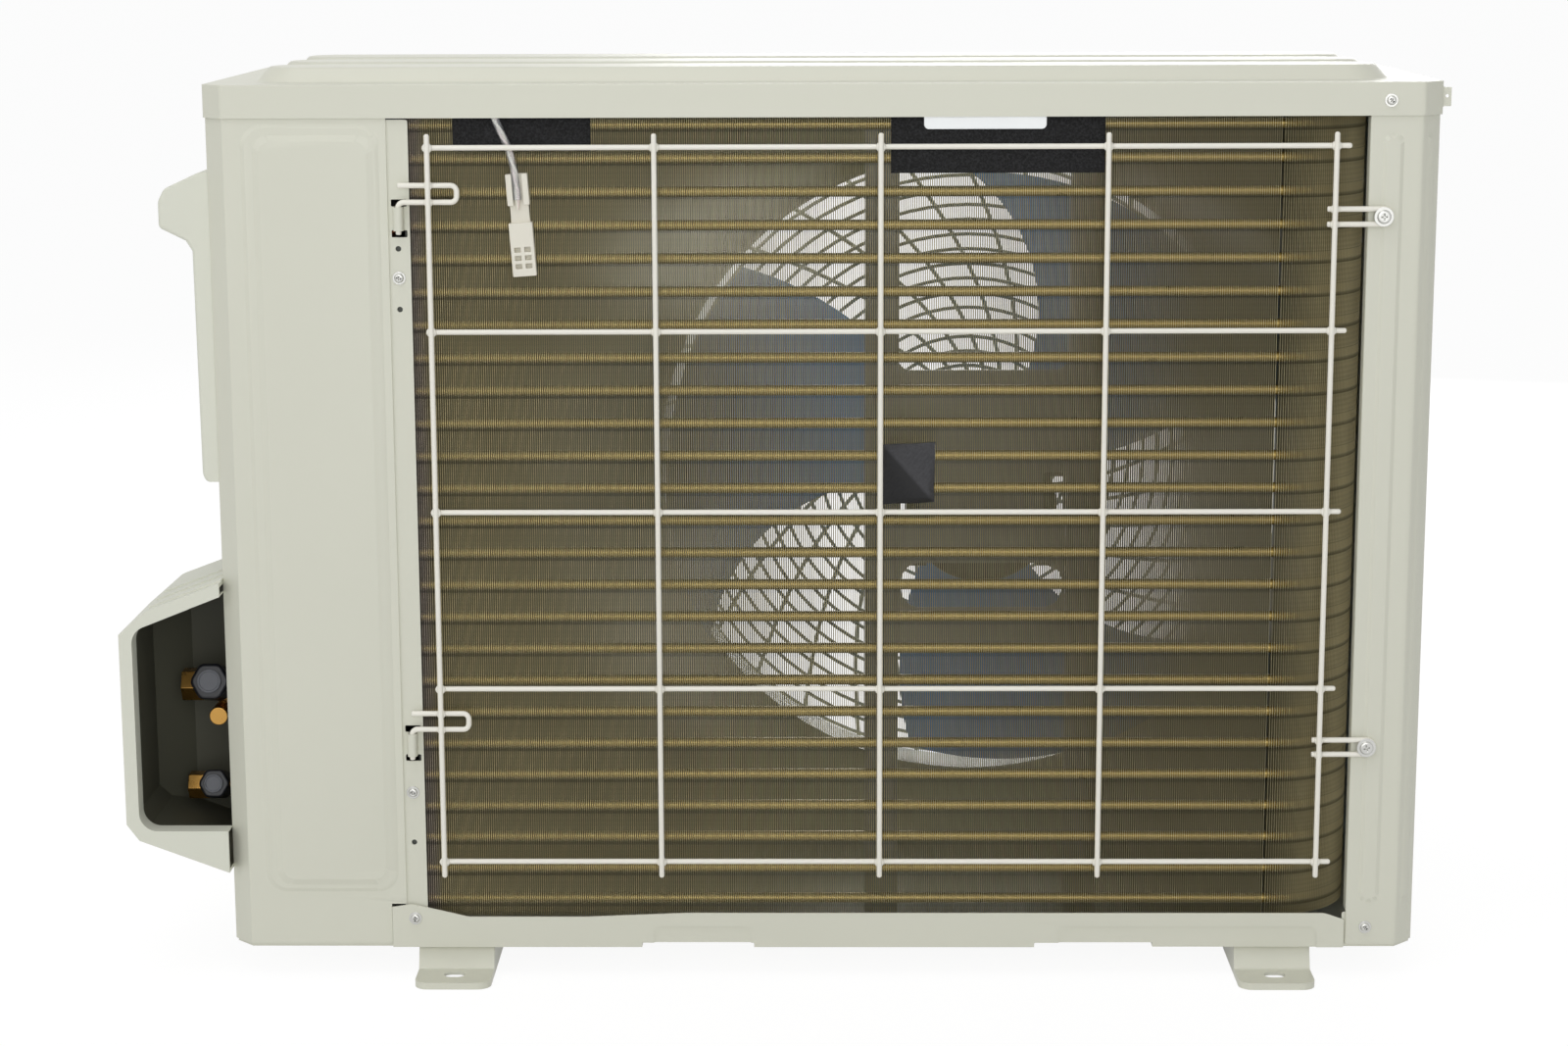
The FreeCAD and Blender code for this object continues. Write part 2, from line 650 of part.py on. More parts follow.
def make_top_cover():
    """Lid with a rim, cut corners and three long raised beads."""
    outer = cabinet_block(0, rim_bottom, rim_top)
    inner = cabinet_block(sheet, rim_bottom - 1, rim_top - sheet)
    for index in (-1, 0, 1):
        middle = index * bead_step
        limits = (x_left + bead_end_margin, x_right - bead_end_margin,
                  middle - bead_width / 2, middle + bead_width / 2)
        outer = outer.fuse(pressing(limits, "xy", rim_top, rim_top + bead_rise, 8.0, 26.0))
        inner = inner.fuse(pressing(limits, "xy", rim_top - sheet, rim_top + bead_rise - sheet, 8.0, 26.0))
    cover = outer.cut(inner)
    lug_y = (y_rear + corner_chamfer, y_rear + corner_chamfer + sheet)
    lug = slab(rectangle(x_right - sheet, x_right + 5.0, 570.0, 582.0), "xz", lug_y[0], lug_y[1], 0.45)
    lug = lug.cut(rod(V(x_right + 2.4, lug_y[0] - 1, 576.5), V(x_right + 2.4, lug_y[1] + 1, 576.5), 1.1))
    return drill(cover.fuse(lug).removeSplitter())


def ring_prism(radius, sides, low, high, width):
    """A many-sided ring about the fan's axis."""
    def corners(r):
        return [(fan_x + r * math.cos(2 * math.pi * i / sides), fan_z + r * math.sin(2 * math.pi * i / sides))
                for i in range(sides)]
    return slab(corners(radius + width / 2), "xz", low, high).cut(
        slab(corners(radius - width / 2), "xz", low - 1, high + 1))


def make_grille():
    """Rim, centre disc and curved spokes of the fan grille."""
    rim = bush(V(fan_x, grille_back, fan_z), V(fan_x, grille_front, fan_z),
               grille_radius, grille_radius - 3.0)
    disc = rod(V(fan_x, spoke_back, fan_z), V(fan_x, grille_front, fan_z), grille_disc_radius)
    pieces = [rim, disc]
    inner_r = grille_disc_radius - 2.0
    outer_r = grille_radius - 1.5
    steps = 4
    swirl = math.tan(math.radians(grille_swirl))
    for spoke in range(grille_spoke_count):
        begin = 2 * math.pi * spoke / grille_spoke_count
        left, right = [], []
        for step in range(steps + 1):
            radius = inner_r * (outer_r / inner_r) ** (step / steps)
            angle = begin + swirl * math.log(radius / inner_r)
            half = math.asin(grille_bar / 2 / radius)
            left.append((fan_x + radius * math.cos(angle + half), fan_z + radius * math.sin(angle + half)))
            right.append((fan_x + radius * math.cos(angle - half), fan_z + radius * math.sin(angle - half)))
        pieces.append(slab(left + right[::-1], "xz", spoke_back, grille_front))
    frame = pieces[0].multiFuse(pieces[1:]).removeSplitter()
    for screw_x, screw_z in grille_screw_places():
        pad = rod(V(screw_x, grille_back, screw_z), V(screw_x, grille_back + 3.0, screw_z), 8.0)
        pad = pad.cut(rod(V(fan_x, grille_back - 1, fan_z), V(fan_x, grille_back + 4, fan_z),
                          grille_radius - 1.5))
        frame = frame.fuse(pad)
        frame = frame.cut(rod(V(screw_x, grille_back - 1, screw_z), V(screw_x, grille_back + 5, screw_z),
                              screw_hole_radius))
    return frame.removeSplitter()


def make_grille_rings():
    """Rings that lie on the back of the spokes."""
    pitch = (grille_radius - 3.0 - grille_disc_radius) / (grille_ring_count + 1)
    rings = []
    for index in range(grille_ring_count):
        radius = grille_disc_radius + pitch * (index + 1)
        sides = 18 if radius < 95 else 36
        rings.append(ring_prism(radius, sides, spoke_back - 3.0, spoke_back, grille_bar))
    return Part.makeCompound(rings)


def bent_block(outer_face_y, outer_face_x, depth, outer_radius, left, front_end, low, high):
    """An L-shaped block with a round corner, for the coil and what follows it."""
    centre_x = outer_face_x - outer_radius
    centre_y = outer_face_y + outer_radius
    inner_radius = outer_radius - depth
    rear_run = block((left, centre_x), (outer_face_y, outer_face_y + depth), (low, high))
    side_run = block((outer_face_x - depth, outer_face_x), (centre_y, front_end), (low, high))
    quarter = Part.makeCylinder(outer_radius, high - low, V(centre_x, centre_y, low), V(0, 0, 1), 90)
    quarter.rotate(V(centre_x, centre_y, low), V(0, 0, 1), -90)
    quarter = quarter.cut(rod(V(centre_x, centre_y, low - 1), V(centre_x, centre_y, high + 1), inner_radius))
    return rear_run.fuse(quarter).fuse(side_run).removeSplitter()


def make_coil_fins():
    """The finned block with its tubes, bent round the corner of the cabinet."""
    return bent_block(coil_rear, coil_side_face, fin_depth, coil_bend_outer, coil_left, coil_side_end,
                      coil_bottom, coil_top)


def row_z(row):
    """Height of a tube row, counted down from the top."""
    return coil_top - tube_pitch * (row + 0.5)


def make_near_end_plate():
    """Plate at the compressor end of the coil, with a flange behind the hinge strip."""
    low, high = pan_floor, coil_top + 3
    plate_x = (coil_left - end_plate, coil_left)
    plate = block(plate_x, (coil_rear - 3.0, coil_front + 12), (low, high))
    flange_y = strip_rear + sheet + lap
    plate = plate.fuse(block((coil_left - 15, coil_left), (flange_y, flange_y + end_plate), (low + 25, high)))
    for low_z, high_z in strap_places():
        plate = plate.cut(block((coil_left - 16, hinge_x + 6.5), (flange_y - 1, flange_y + 3),
                                (low_z - 6, high_z + 6)))
    for row in range(tube_rows - 1):
        plate = plate.cut(rod(V(coil_left - 3, tube_y, row_z(row)), V(coil_left + 1, tube_y, row_z(row)),
                              tube_diameter / 2 + 0.1))
    return drill(plate)


def make_far_end_plate():
    """Plate at the front end of the coil's side leg."""
    plate = block((coil_side_face - fin_depth - 2, coil_side_face + 4),
                  (coil_side_end, coil_side_end + end_plate), (pan_floor, coil_top + 3))
    for row in range(tube_rows - 1):
        start = V(tube_x, coil_side_end - 1, row_z(row))
        plate = plate.cut(rod(start, start + V(0, end_plate + 2, 0), tube_diameter / 2 + 0.1))
    return plate


def u_bend(start, end, outward):
    """A six-sided return bend between two rows, standing out from an end plate."""
    reach = 3.5
    side = (end - start).normalize()
    across = side.cross(outward)
    radius = tube_diameter / 2

    def section(centre, lengthways):
        sideways = lengthways.cross(across)
        corners = []
        for index in range(7):
            angle = math.radians(60 * index)
            corners.append(centre + across * (radius * math.cos(angle))
                           + sideways * (radius * math.sin(angle)))
        return Part.makePolygon(corners)

    turn_radius = (end - start).Length / 2
    middle = (start + end) * 0.5 + outward * reach
    sections = [section(start, outward)]
    for index in range(4):
        angle = math.radians(180.0 - 60.0 * index)
        centre = middle + side * (turn_radius * math.cos(angle)) + outward * (turn_radius * math.sin(angle))
        along = side * math.sin(angle) - outward * math.cos(angle)
        sections.append(section(centre, along))
    sections.append(section(end, outward * -1))
    return Part.makeLoft(sections, True, True)


def make_return_bends():
    """Bends at the compressor end, each joining a hairpin to the next."""
    bends = []
    out = V(-1, 0, 0)
    for row in range(1, tube_rows - 3, 2):
        start = V(coil_left, tube_y, row_z(row))
        bends.append(u_bend(start, start - V(0, 0, tube_pitch), out))
    return Part.makeCompound(bends)


def make_hairpins():
    """Closed ends of the hairpins at the front of the side leg."""
    bends = []
    out = V(0, 1, 0)
    for row in range(0, tube_rows - 1, 2):
        start = V(tube_x, coil_side_end, row_z(row))
        bends.append(u_bend(start, start - V(0, 0, tube_pitch), out))
    return Part.makeCompound(bends)


def make_foam_strips():
    """Two foam strips on the upper edge of the coil."""
    left = block((-260.3, -173.3), foam_y, (coil_top - 26.5, coil_top))
    right = slab([(16.4, coil_top - 41.0), (151.4, coil_top - 36.0), (151.4, coil_top), (16.4, coil_top)],
                 "xz", foam_y[0], foam_y[1])
    return Part.makeCompound([left, right])


def make_foam_pad():
    """Foam pad on the coil, creased on its diagonal."""
    left, right, low, high = 11.2, 45.2, 317.0, 356.0
    face = coil_rear - pad_thickness
    pad = slab(rectangle(left, right, low, high), "xz", face, coil_rear)
    corners = [V(left, face, high), V(right, face, high), V(right, face, low)]
    crease = Part.makePolygon(corners + corners[:1])
    raised = Part.Face(crease).extrude(V(0, -1.5, 0))
    return pad.fuse(raised).removeSplitter()


def make_motor_rail(side):
    """A channel that stands on the pan and carries the motor's ears on its front face."""
    middle = fan_x + side * rail_offset
    limits = (middle - rail_width / 2, middle + rail_width / 2)
    rail = block(limits, bracket_y, (pan_floor, coil_top))
    hollow = block((limits[0] + pan_sheet, limits[1] - pan_sheet),
                   (bracket_y[0] - 1, bracket_y[1] - pan_sheet),
                   (pan_floor + pan_sheet, coil_top - pan_sheet))
    return rail.cut(hollow)


def make_bracket_top():
    """Plate that ties both rails and hooks over the top of the coil."""
    low = coil_top
    middle = fan_x - 2.6
    wide = rail_offset + rail_width / 2
    half = hook_plate_width / 2
    tie = block((fan_x - wide, fan_x + wide), (coil_front + 4, bracket_y[1]), (low, low + pan_sheet))
    tongue = block((middle - half, middle + half), (foam_y[0] - pan_sheet, coil_front + 5),
                   (low, low + pan_sheet))
    lip = slab(rectangle(middle - half, middle + half, hook_plate_bottom, low + pan_sheet), "xz",
               foam_y[0] - pan_sheet, foam_y[0], 3.0)
    lip = lip.fuse(block((middle - half, middle + half), (foam_y[0] - pan_sheet, foam_y[0]),
                         (low - 4, low + pan_sheet)))
    return tie.fuse(tongue).fuse(lip).removeSplitter()


def make_motor_plate():
    """Web between the rails behind the motor, with a long window and a small one at each side."""
    left = fan_x - rail_offset + rail_width / 2
    right = fan_x + rail_offset - rail_width / 2
    low, high = motor_plate_z
    corner = 8.0
    y = (bracket_y[1] - pan_sheet, bracket_y[1])
    plate = block((left, right), y, (low, high + corner))
    above = rectangle(left, right, high, high + 6 * corner)
    plate = plate.cut(slab(above, "xz", y[0] - 1, y[1] + 1, corner))
    window = rectangle(left + 2.5, right - 2.5, low + 30, low + 60)
    plate = plate.cut(slab(window, "xz", y[0] - 1, y[1] + 1, 12.0))
    for side in (-1, 1):
        edge = fan_x + side * (rail_offset - rail_width / 2 - 2)
        inner = edge - side * 13.0
        small = rectangle(min(edge, inner), max(edge, inner), high - 100, high - 68)
        plate = plate.cut(slab(small, "xz", y[0] - 1, y[1] + 1, 2.0))
    return plate


def make_fan_motor():
    """Motor can with its front boss, four ears on the rails and a bore for the shaft."""
    can = rod(V(fan_x, motor_rear_y, fan_z), V(fan_x, motor_front_y, fan_z), motor_radius)
    can = can.makeFillet(6.0, [edge for edge in can.Edges if len(edge.Vertexes) == 1])
    boss = rod(V(fan_x, motor_front_y, fan_z), V(fan_x, motor_front_y + 6, fan_z), 16.0)
    ear_y = (bracket_y[1], bracket_y[1] + ear_thickness)
    motor = can.fuse(boss)
    for side in (-1, 1):
        for lift_z in (-30.0, 30.0):
            inner_x = fan_x + side * 36.0
            outer_x = fan_x + side * (rail_offset + 6.0)
            ear = block((min(inner_x, outer_x), max(inner_x, outer_x)), ear_y,
                        (fan_z + lift_z - 8, fan_z + lift_z + 8))
            motor = motor.fuse(ear)
    motor = motor.cut(rod(V(fan_x, motor_rear_y + 8, fan_z), V(fan_x, motor_front_y + 7, fan_z),
                          shaft_radius + shaft_clearance))
    return motor.removeSplitter()


def make_motor_shaft():
    """Shaft from inside the motor through the fan's hub."""
    start = V(fan_x, motor_rear_y + 9, fan_z)
    return rod(start, V(fan_x, shaft_end_y, fan_z), shaft_radius)


def blade_surface_y(radius, degrees):
    """Height along the axis of a blade's face, rising from its leading edge to its trailing edge."""
    outward_share = (radius - hub_radius) / (fan_radius - hub_radius)
    share = (degrees - blade_lean * (1 - outward_share)) / blade_span
    rise = 0.92 * blade_height * (0.6 + 0.4 * outward_share)
    camber = blade_camber * (4 * share * share - 1) * (radius / fan_radius)
    return fan_rear_y + blade_height / 2 + rise * share + camber


def make_blade(start_angle):
    """One twisted blade: a lofted face drawn out to its thickness, trimmed to a sickle-shaped plan."""
    def place(radius, degrees, y):
        # Seen from the rear, degrees run clockwise, and the fan turns the other way
        angle = math.radians(start_angle + degrees)
        return V(fan_x + radius * math.cos(angle), y, fan_z - radius * math.sin(angle))

    half = blade_span / 2
    first = -half - 4
    last = half + blade_lean + 1
    columns = 7
    rows = []
    for radius in (30.0, 90.0, 150.0, fan_radius + 10.5):
        turns = [first + (last - first) * index / (columns - 1) for index in range(columns)]
        rows.append([place(radius, turn, blade_surface_y(radius, turn)) for turn in turns])
    surface = Part.BSplineSurface()
    surface.interpolate(rows)
    sheet_solid = surface.toShape().extrude(V(0, blade_thickness, 0))

    def plan_arc(*points):
        return Part.Arc(*[place(radius, degrees, -20) for radius, degrees in points]).toShape()

    root = hub_radius - 3.0
    middle = 0.6 * fan_radius
    leading = plan_arc((root, -half * 0.33), (middle, -half * 0.42), (fan_radius, -half))
    tip = plan_arc((fan_radius, -half), (fan_radius, 0), (fan_radius, half))
    trailing = plan_arc((fan_radius, half), (middle, half * 1.29), (root, half * 1.44))
    closing = plan_arc((root, half * 1.44), (root, half * 0.55), (root, -half * 0.33))
    outline = Part.Face(Part.Wire([leading, tip, trailing, closing])).extrude(V(0, 200, 0))
    return sheet_solid.common(outline)


def make_fan():
    """Three-bladed fan with a hollow hub."""
    rear = V(fan_x, hub_rear_y, fan_z)
    front = V(fan_x, hub_front_y, fan_z)
    step = V(0, 1, 0)
    web = step * 4
    fan = rod(rear, front, hub_radius)
    fan = fan.makeFillet(7.0, [edge for edge in fan.Edges
                               if len(edge.Vertexes) == 1 and edge.CenterOfMass.y > hub_front_y - 1])
    for index in range(blade_count):
        fan = fan.fuse(make_blade(first_blade_angle + 360.0 / blade_count * index))
    fan = fan.cut(bush(rear - step, front - web, hub_radius - hub_wall, hub_boss_radius))
    return fan.cut(rod(rear - step, front + step, shaft_radius))


def make_fan_nut():
    nut = hex_bar(V(fan_x, hub_front_y, fan_z), V(fan_x, hub_front_y + 6, fan_z), 13.0)
    return nut.cut(rod(V(fan_x, hub_front_y - 1, fan_z), V(fan_x, hub_front_y + 7, fan_z), shaft_radius))


def make_partition():
    """Sheet wall between the fan space and the compressor space."""
    t = sheet
    slant = t * math.tan(math.radians(22.5))
    start = (partition_x, coil_front + 3)
    knee = (partition_x, y_rear + 73.0)
    elbow = (partition_end_x, knee[1] + partition_reach - 12.0)
    end = (partition_end_x, y_front - pan_inset - pan_sheet)
    points = [start, knee, elbow, end, (end[0] - t, end[1]), (elbow[0] - t, elbow[1] + slant),
              (knee[0] - t, knee[1] + slant), (start[0] - t, start[1])]
    return slab(points, "xy", pan_floor, panel_top - 2)


def compressor_foot_places():
    places = []
    for angle in (270.0, 30.0, 150.0):
        turn = math.radians(angle)
        places.append(V(compressor_x + compressor_foot_radius * math.cos(turn),
                        compressor_y + compressor_foot_radius * math.sin(turn), 0))
    return places


def make_compressor():
    """Welded can with domed ends on a three-cornered foot plate."""
    r = compressor_radius
    low, high = compressor_bottom, compressor_bottom + compressor_height
    dome = compressor_dome
    edges = [
        Part.LineSegment(V(0, 0, low), V(r * 0.8, 0, low)).toShape(),
        Part.Arc(V(r * 0.8, 0, low), V(r * 0.95, 0, low + dome * 0.3), V(r, 0, low + dome)).toShape(),
        Part.LineSegment(V(r, 0, low + dome), V(r, 0, high - dome)).toShape(),
        Part.Arc(V(r, 0, high - dome), V(r * 0.87, 0, high - dome * 0.3), V(r * 0.5, 0, high)).toShape(),
        Part.LineSegment(V(r * 0.5, 0, high), V(0, 0, high)).toShape(),
        Part.LineSegment(V(0, 0, high), V(0, 0, low)).toShape(),
    ]
    can = Part.Face(Part.Wire(edges)).revolve(V(0, 0, 0), V(0, 0, 1), 360)
    can.translate(V(compressor_x, compressor_y, 0))
    places = compressor_foot_places()
    centre = V(compressor_x, compressor_y, 0)
    outline = [((p - centre) * 1.28 + centre) for p in places]
    plate = slab([(p.x, p.y) for p in outline], "xy", grommet_seat, grommet_seat + foot_plate, 14.0)
    plate = plate.fuse(rod(V(compressor_x, compressor_y, grommet_seat),
                           V(compressor_x, compressor_y, low + 4), 34.0))
    for place in places:
        plate = plate.cut(rod(V(place.x, place.y, grommet_seat - 1), V(place.x, place.y, grommet_seat + 5),
                              grommet_neck + lap))
    return can.fuse(plate).removeSplitter()


def make_grommets():
    """Rubber mounts: a wide foot below the plate and a neck through it."""
    mounts = []
    for place in compressor_foot_places():
        low = rod(V(place.x, place.y, pan_floor), V(place.x, place.y, grommet_seat), grommet_radius)
        neck = rod(V(place.x, place.y, grommet_seat), V(place.x, place.y, grommet_seat + 6), grommet_neck)
        mount = low.fuse(neck).removeSplitter()
        mounts.append(mount.cut(rod(V(place.x, place.y, 0), V(place.x, place.y, 60), stud_radius + 0.1)))
    return Part.makeCompound(mounts)


def make_studs():
    """Studs welded to the pan, through the mounts, with a nut on each."""
    studs = []
    for place in compressor_foot_places():
        stud = rod(V(place.x, place.y, pan_floor), V(place.x, place.y, 47), stud_radius)
        nut = hex_bar(V(place.x, place.y, grommet_seat + 6), V(place.x, place.y, grommet_seat + 11), 10.0)
        studs.append(stud.fuse(nut).removeSplitter())
    return Part.makeCompound(studs)


def make_compressor_cap():
    """Plastic cap over the compressor's terminals, held on by its nut."""
    seat = V(compressor_x + 18, compressor_y - 22, compressor_bottom + compressor_height - 7.0)
    return rod(seat, seat + V(0, 0, 24), 16.0).cut(make_compressor())


def make_accumulator():
    """Upright accumulator with rounded ends and a pipe to the compressor."""
    low, high = accumulator_z
    can = rod(V(accumulator_x, accumulator_y, low), V(accumulator_x, accumulator_y, high), accumulator_radius)
    can = can.makeFillet(12.0, [edge for edge in can.Edges if len(edge.Vertexes) == 1])
    toward = V(compressor_x - accumulator_x, compressor_y - accumulator_y, 0).normalize()
    gap = math.hypot(compressor_x - accumulator_x, compressor_y - accumulator_y) - compressor_radius
    meet = V(accumulator_x, accumulator_y, 0) + toward * (gap - lap)
    elbow = pipe([(accumulator_x, accumulator_y, low + 4), (accumulator_x, accumulator_y, 62.0),
                  (meet.x, meet.y, 62.0)], 10.0, 6.0)
    return can.fuse(elbow).removeSplitter()


def make_accumulator_strap():
    """Steel band round the accumulator, tied to the compressor's can."""
    low, high = 150.0, 166.0
    band = bush(V(accumulator_x, accumulator_y, low), V(accumulator_x, accumulator_y, high),
                accumulator_radius + 1.2, accumulator_radius)
    toward = V(compressor_x - accumulator_x, compressor_y - accumulator_y, 0)
    tie = block((accumulator_radius + 0.6, toward.Length - compressor_radius + 3), (-5, 5), (low, high))
    tie.rotate(V(0, 0, 0), V(0, 0, 1), math.degrees(math.atan2(toward.y, toward.x)))
    tie.translate(V(accumulator_x, accumulator_y, 0))
    tie = tie.cut(rod(V(compressor_x, compressor_y, low - 1), V(compressor_x, compressor_y, high + 1),
                      compressor_radius))
    return band.fuse(tie).removeSplitter()


def make_four_way_valve():
    """Level body with one port above and three below."""
    x, y, z = four_way_x, four_way_y, four_way_z
    body = rod(V(x, y - 45, z), V(x, y + 45, z), 13.0)
    body = body.fuse(rod(V(x, y, z), V(x, y, z + 17), 7.0))
    for port_y in (-25.0, 0.0, 25.0):
        body = body.fuse(rod(V(x, y + port_y, z - 17), V(x, y + port_y, z), 8.0))
    return body.removeSplitter()


def make_four_way_coil():
    """Solenoid coil on the side of the four-way valve."""
    x, y, z = four_way_x, four_way_y, four_way_z
    stem = rod(V(x, y, z + 2), V(x + 21, y, z + 2), 5.0)
    coil = block((x + 20, x + 48), (y - 15, y + 15), (z - 14, z + 18))
    stem = stem.cut(rod(V(x, y - 30, z), V(x, y + 30, z), 13.0))
    return stem.fuse(coil).removeSplitter()


def make_expansion_valve():
    """Small upright valve with its round coil on top and a side port."""
    x, y = expansion_x, expansion_y
    body = rod(V(x, y, 200), V(x, y, 236), 9.0)
    body = body.fuse(rod(V(x, y, 236), V(x, y, 262), 18.0))
    return body.fuse(rod(V(x, y, 215), V(x + 12, y, 215), 5.5)).removeSplitter()


def make_pipes():
    """The bent refrigerant pipes, by node name."""
    x, y, z = four_way_x, four_way_y, four_way_z
    can_top = compressor_bottom + compressor_height
    pipe_z = row_z(0)
    low_z = row_z(tube_rows - 2)
    gas_end = V(valve_x, valve_y, gas_valve_z)
    liquid_end = V(valve_x, valve_y, liquid_valve_z)
    stub = valve_stub
    riser_x = x_left + 57.5
    gas_drop_x = x_left + 29.5
    ex, ey = expansion_x, expansion_y
    return {
        "discharge_pipe": pipe([(x - 40, y + 5, can_top), (x - 40, y + 5, z + 62), (x, y, z + 62),
                                (x, y, z + 17)], 15.0, 4.8),
        "suction_pipe": pipe([(x, y, z - 17), (x, y, z - 62), (accumulator_x, accumulator_y, z - 62),
                              (accumulator_x, accumulator_y, accumulator_z[1])], 18.0, 6.35),
        "coil_gas_pipe": pipe([(x, y + 25, z - 17), (x, y + 25, z - 38), (riser_x, y + 25, z - 38),
                               (riser_x, tube_y, z - 38), (riser_x, tube_y, pipe_z),
                               (coil_left - end_plate - 0.2, tube_y, pipe_z)], 12.0, 4.8),
        "gas_valve_pipe": pipe([(x, y - 25, z - 17), (x, y - 25, z - 62), (gas_drop_x, gas_end.y, z - 62),
                                (gas_drop_x, gas_end.y, gas_end.z), (gas_end.x + stub, gas_end.y, gas_end.z)],
                               11.0, 4.8),
        "coil_liquid_pipe": pipe([(coil_left - end_plate - 0.2, tube_y, low_z), (ex + 25, tube_y, low_z),
                                  (ex, ey, 96.0), (ex, ey, 200.0)], 11.0, 3.5),
        "liquid_valve_pipe": pipe([(ex + 12, ey, 215.0), (ex + 30, ey, 215.0), (ex + 30, liquid_end.y, 215.0),
                                   (ex + 30, liquid_end.y, liquid_end.z),
                                   (liquid_end.x + stub, liquid_end.y, liquid_end.z)], 9.0, 3.2),
    }


def make_valve_plate():
    """Bracket inside the side opening that carries both service valves, with a foot on the pan."""
    low, high = pan_floor, 258.0
    face = (valve_flange_face, valve_flange_face + 1.5)
    plate = slab(rectangle(-116.0, -4.0, low, high), "yz", face[0], face[1], 6.0)
    foot = block((face[0], face[0] + 22), (-110, -10), (low, low + 1.5))
    plate = plate.fuse(foot)
    for valve_z in (gas_valve_z, liquid_valve_z):
        plate = plate.cut(rod(V(face[0] - 1, valve_y, valve_z), V(face[1] + 1, valve_y, valve_z), 9.5))
    return drill(plate.removeSplitter())


def valve_sizes(kind):
    """Neck radius, nut across flats, cap across flats and height of a service valve."""
    if kind == "gas":
        return 8.0, 24.0, 20.0, gas_valve_z
    return 6.4, 19.0, 17.0, liquid_valve_z


def port_direction():
    tilt = math.radians(port_tilt)
    return V(0, -math.cos(tilt), math.sin(tilt))


def make_service_valve(kind):
    """Angle valve: flange on the plate, stem boss outwards, flare neck towards the rear."""
    neck, nut_size, cap_size, height = valve_sizes(kind)
    centre = V(valve_x, valve_y, height)
    body_end = neck + 1.0
    body = rod(centre + V(valve_stub, 0, 0), centre - V(body_end, 0, 0), body_end)
    body = body.fuse(rod(centre, centre - V(body_end + stem_length, 0, 0), neck - 1.2))
    reach = port_direction() * (neck + 1.0 + neck_length)
    body = body.fuse(rod(centre, centre + reach, neck))
    plate_x = (valve_flange_face - 3.0, valve_flange_face)
    flange = slab(rectangle(valve_y - 22, valve_y + 22, height - 13, height + 13), "yz",
                  plate_x[0], plate_x[1], 6.0)
    body = body.fuse(flange)
    if kind == "gas":
        body = body.fuse(rod(centre + V(4, 0, -7), centre + V(4, 0, -14), 5.0))
        body = body.fuse(rod(centre + V(4, 3, -16), centre + V(4, -20, -16), 4.4))
    return body.removeSplitter()


def make_stem_cap(kind):
    """Hexagonal cap over the valve's stem."""
    neck, nut_size, cap_size, height = valve_sizes(kind)
    body_end = valve_x - neck - 1.0
    outer = V(body_end - cap_length, valve_y, height)
    inner = V(body_end - lap, valve_y, height)
    cap = hex_bar(outer, inner, cap_size)
    bore_end = V(body_end - stem_length - 1.0, valve_y, height)
    return cap.cut(rod(bore_end, inner + V(1, 0, 0), neck - 1.2 + thread_clearance))


def make_flare_nut(kind):
    """Six-sided nut on the flare neck, closed at its outer face."""
    neck, nut_size, cap_size, height = valve_sizes(kind)
    centre = V(valve_x, valve_y, height)
    along = port_direction()
    body_end = neck + 1.0
    start = centre + along * (body_end + nut_gap)
    end = start + along * nut_length
    nut = hex_bar(start, end, nut_size)
    bore_end = centre + along * (body_end + neck_length + 0.8)
    nut = nut.cut(rod(start - along, bore_end, neck + thread_clearance))
    return nut


def make_service_port_cap():
    centre = V(valve_x, valve_y, gas_valve_z)
    outer = centre + V(4, -26, -16)
    inner = centre + V(4, -9, -16)
    cap = rod(outer, inner, 6.2)
    return cap.cut(rod(centre + V(4, -21, -16), inner + V(0, 1, 0), 4.4 + thread_clearance))


def make_electrical_box():
    """Open-topped box above the compressor, with a drop plate behind the terminal opening."""
    low, high = box_floor_z, box_top_z
    left = terminal_back
    rear_corner = partition_x - 8.0
    front_corner = partition_end_x - 12.0
    rear, front = y_rear + 33.0, y_front - 33.0
    slant = (y_rear + 79.0, y_rear + 79.0 + front_corner - rear_corner)
    wall = plastic_wall
    plan = [(left, rear), (rear_corner, rear), (rear_corner, slant[0]), (front_corner, slant[1]),
            (front_corner, front), (left, front)]
    inside = [(left + wall, rear + wall), (rear_corner - wall, rear + wall),
              (rear_corner - wall, slant[0] + 1), (front_corner - wall, slant[1] + 1),
              (front_corner - wall, front - wall), (left + wall, front - wall)]
    tray = slab(plan, "xy", low, high).cut(slab(inside, "xy", low + wall, high + 1))
    drop = block((left, left + wall), (terminal_opening[0] - 6, terminal_opening[1] + 6),
                 (terminal_opening[2] - 3, low + 1))
    rim = block((panel_left + lap + sheet, left + wall), (rear + 2, front - 10), (high - 3, high))
    return tray.fuse(drop).fuse(rim).removeSplitter()


def make_circuit_board():
    """Board on the floor of the electrical box, with its tall parts."""
    low = box_floor_z + plastic_wall
    left = panel_left + 14
    top = low + 1.6
    board = block((left, left + 99.0), (-90, 90), (low, top))
    for capacitor_x, capacitor_y in ((left + 19, 50), (left + 54, 60)):
        board = board.fuse(rod(V(capacitor_x, capacitor_y, low), V(capacitor_x, capacitor_y, top + 40), 15.0))
    board = board.fuse(block((left + 59, left + 89), (-70, -30), (low, top + 28)))
    board = board.fuse(block((left + 4, left + 29), (-60, -10), (low, top + 18)))
    return board.removeSplitter()


def make_terminal_block():
    """Stepped block with walls between its screw places."""
    back = terminal_back
    front = back - 14.0
    wall = 2.0
    block_y, block_z = terminal_block_y, terminal_block_z
    shape = block((front + 6, back), block_y, block_z)
    way = (block_y[1] - block_y[0] - wall) / terminal_ways
    for index in range(terminal_ways + 1):
        wall_y = block_y[0] + way * index
        shape = shape.fuse(block((front, back), (wall_y, wall_y + wall), block_z))
    return shape.removeSplitter()


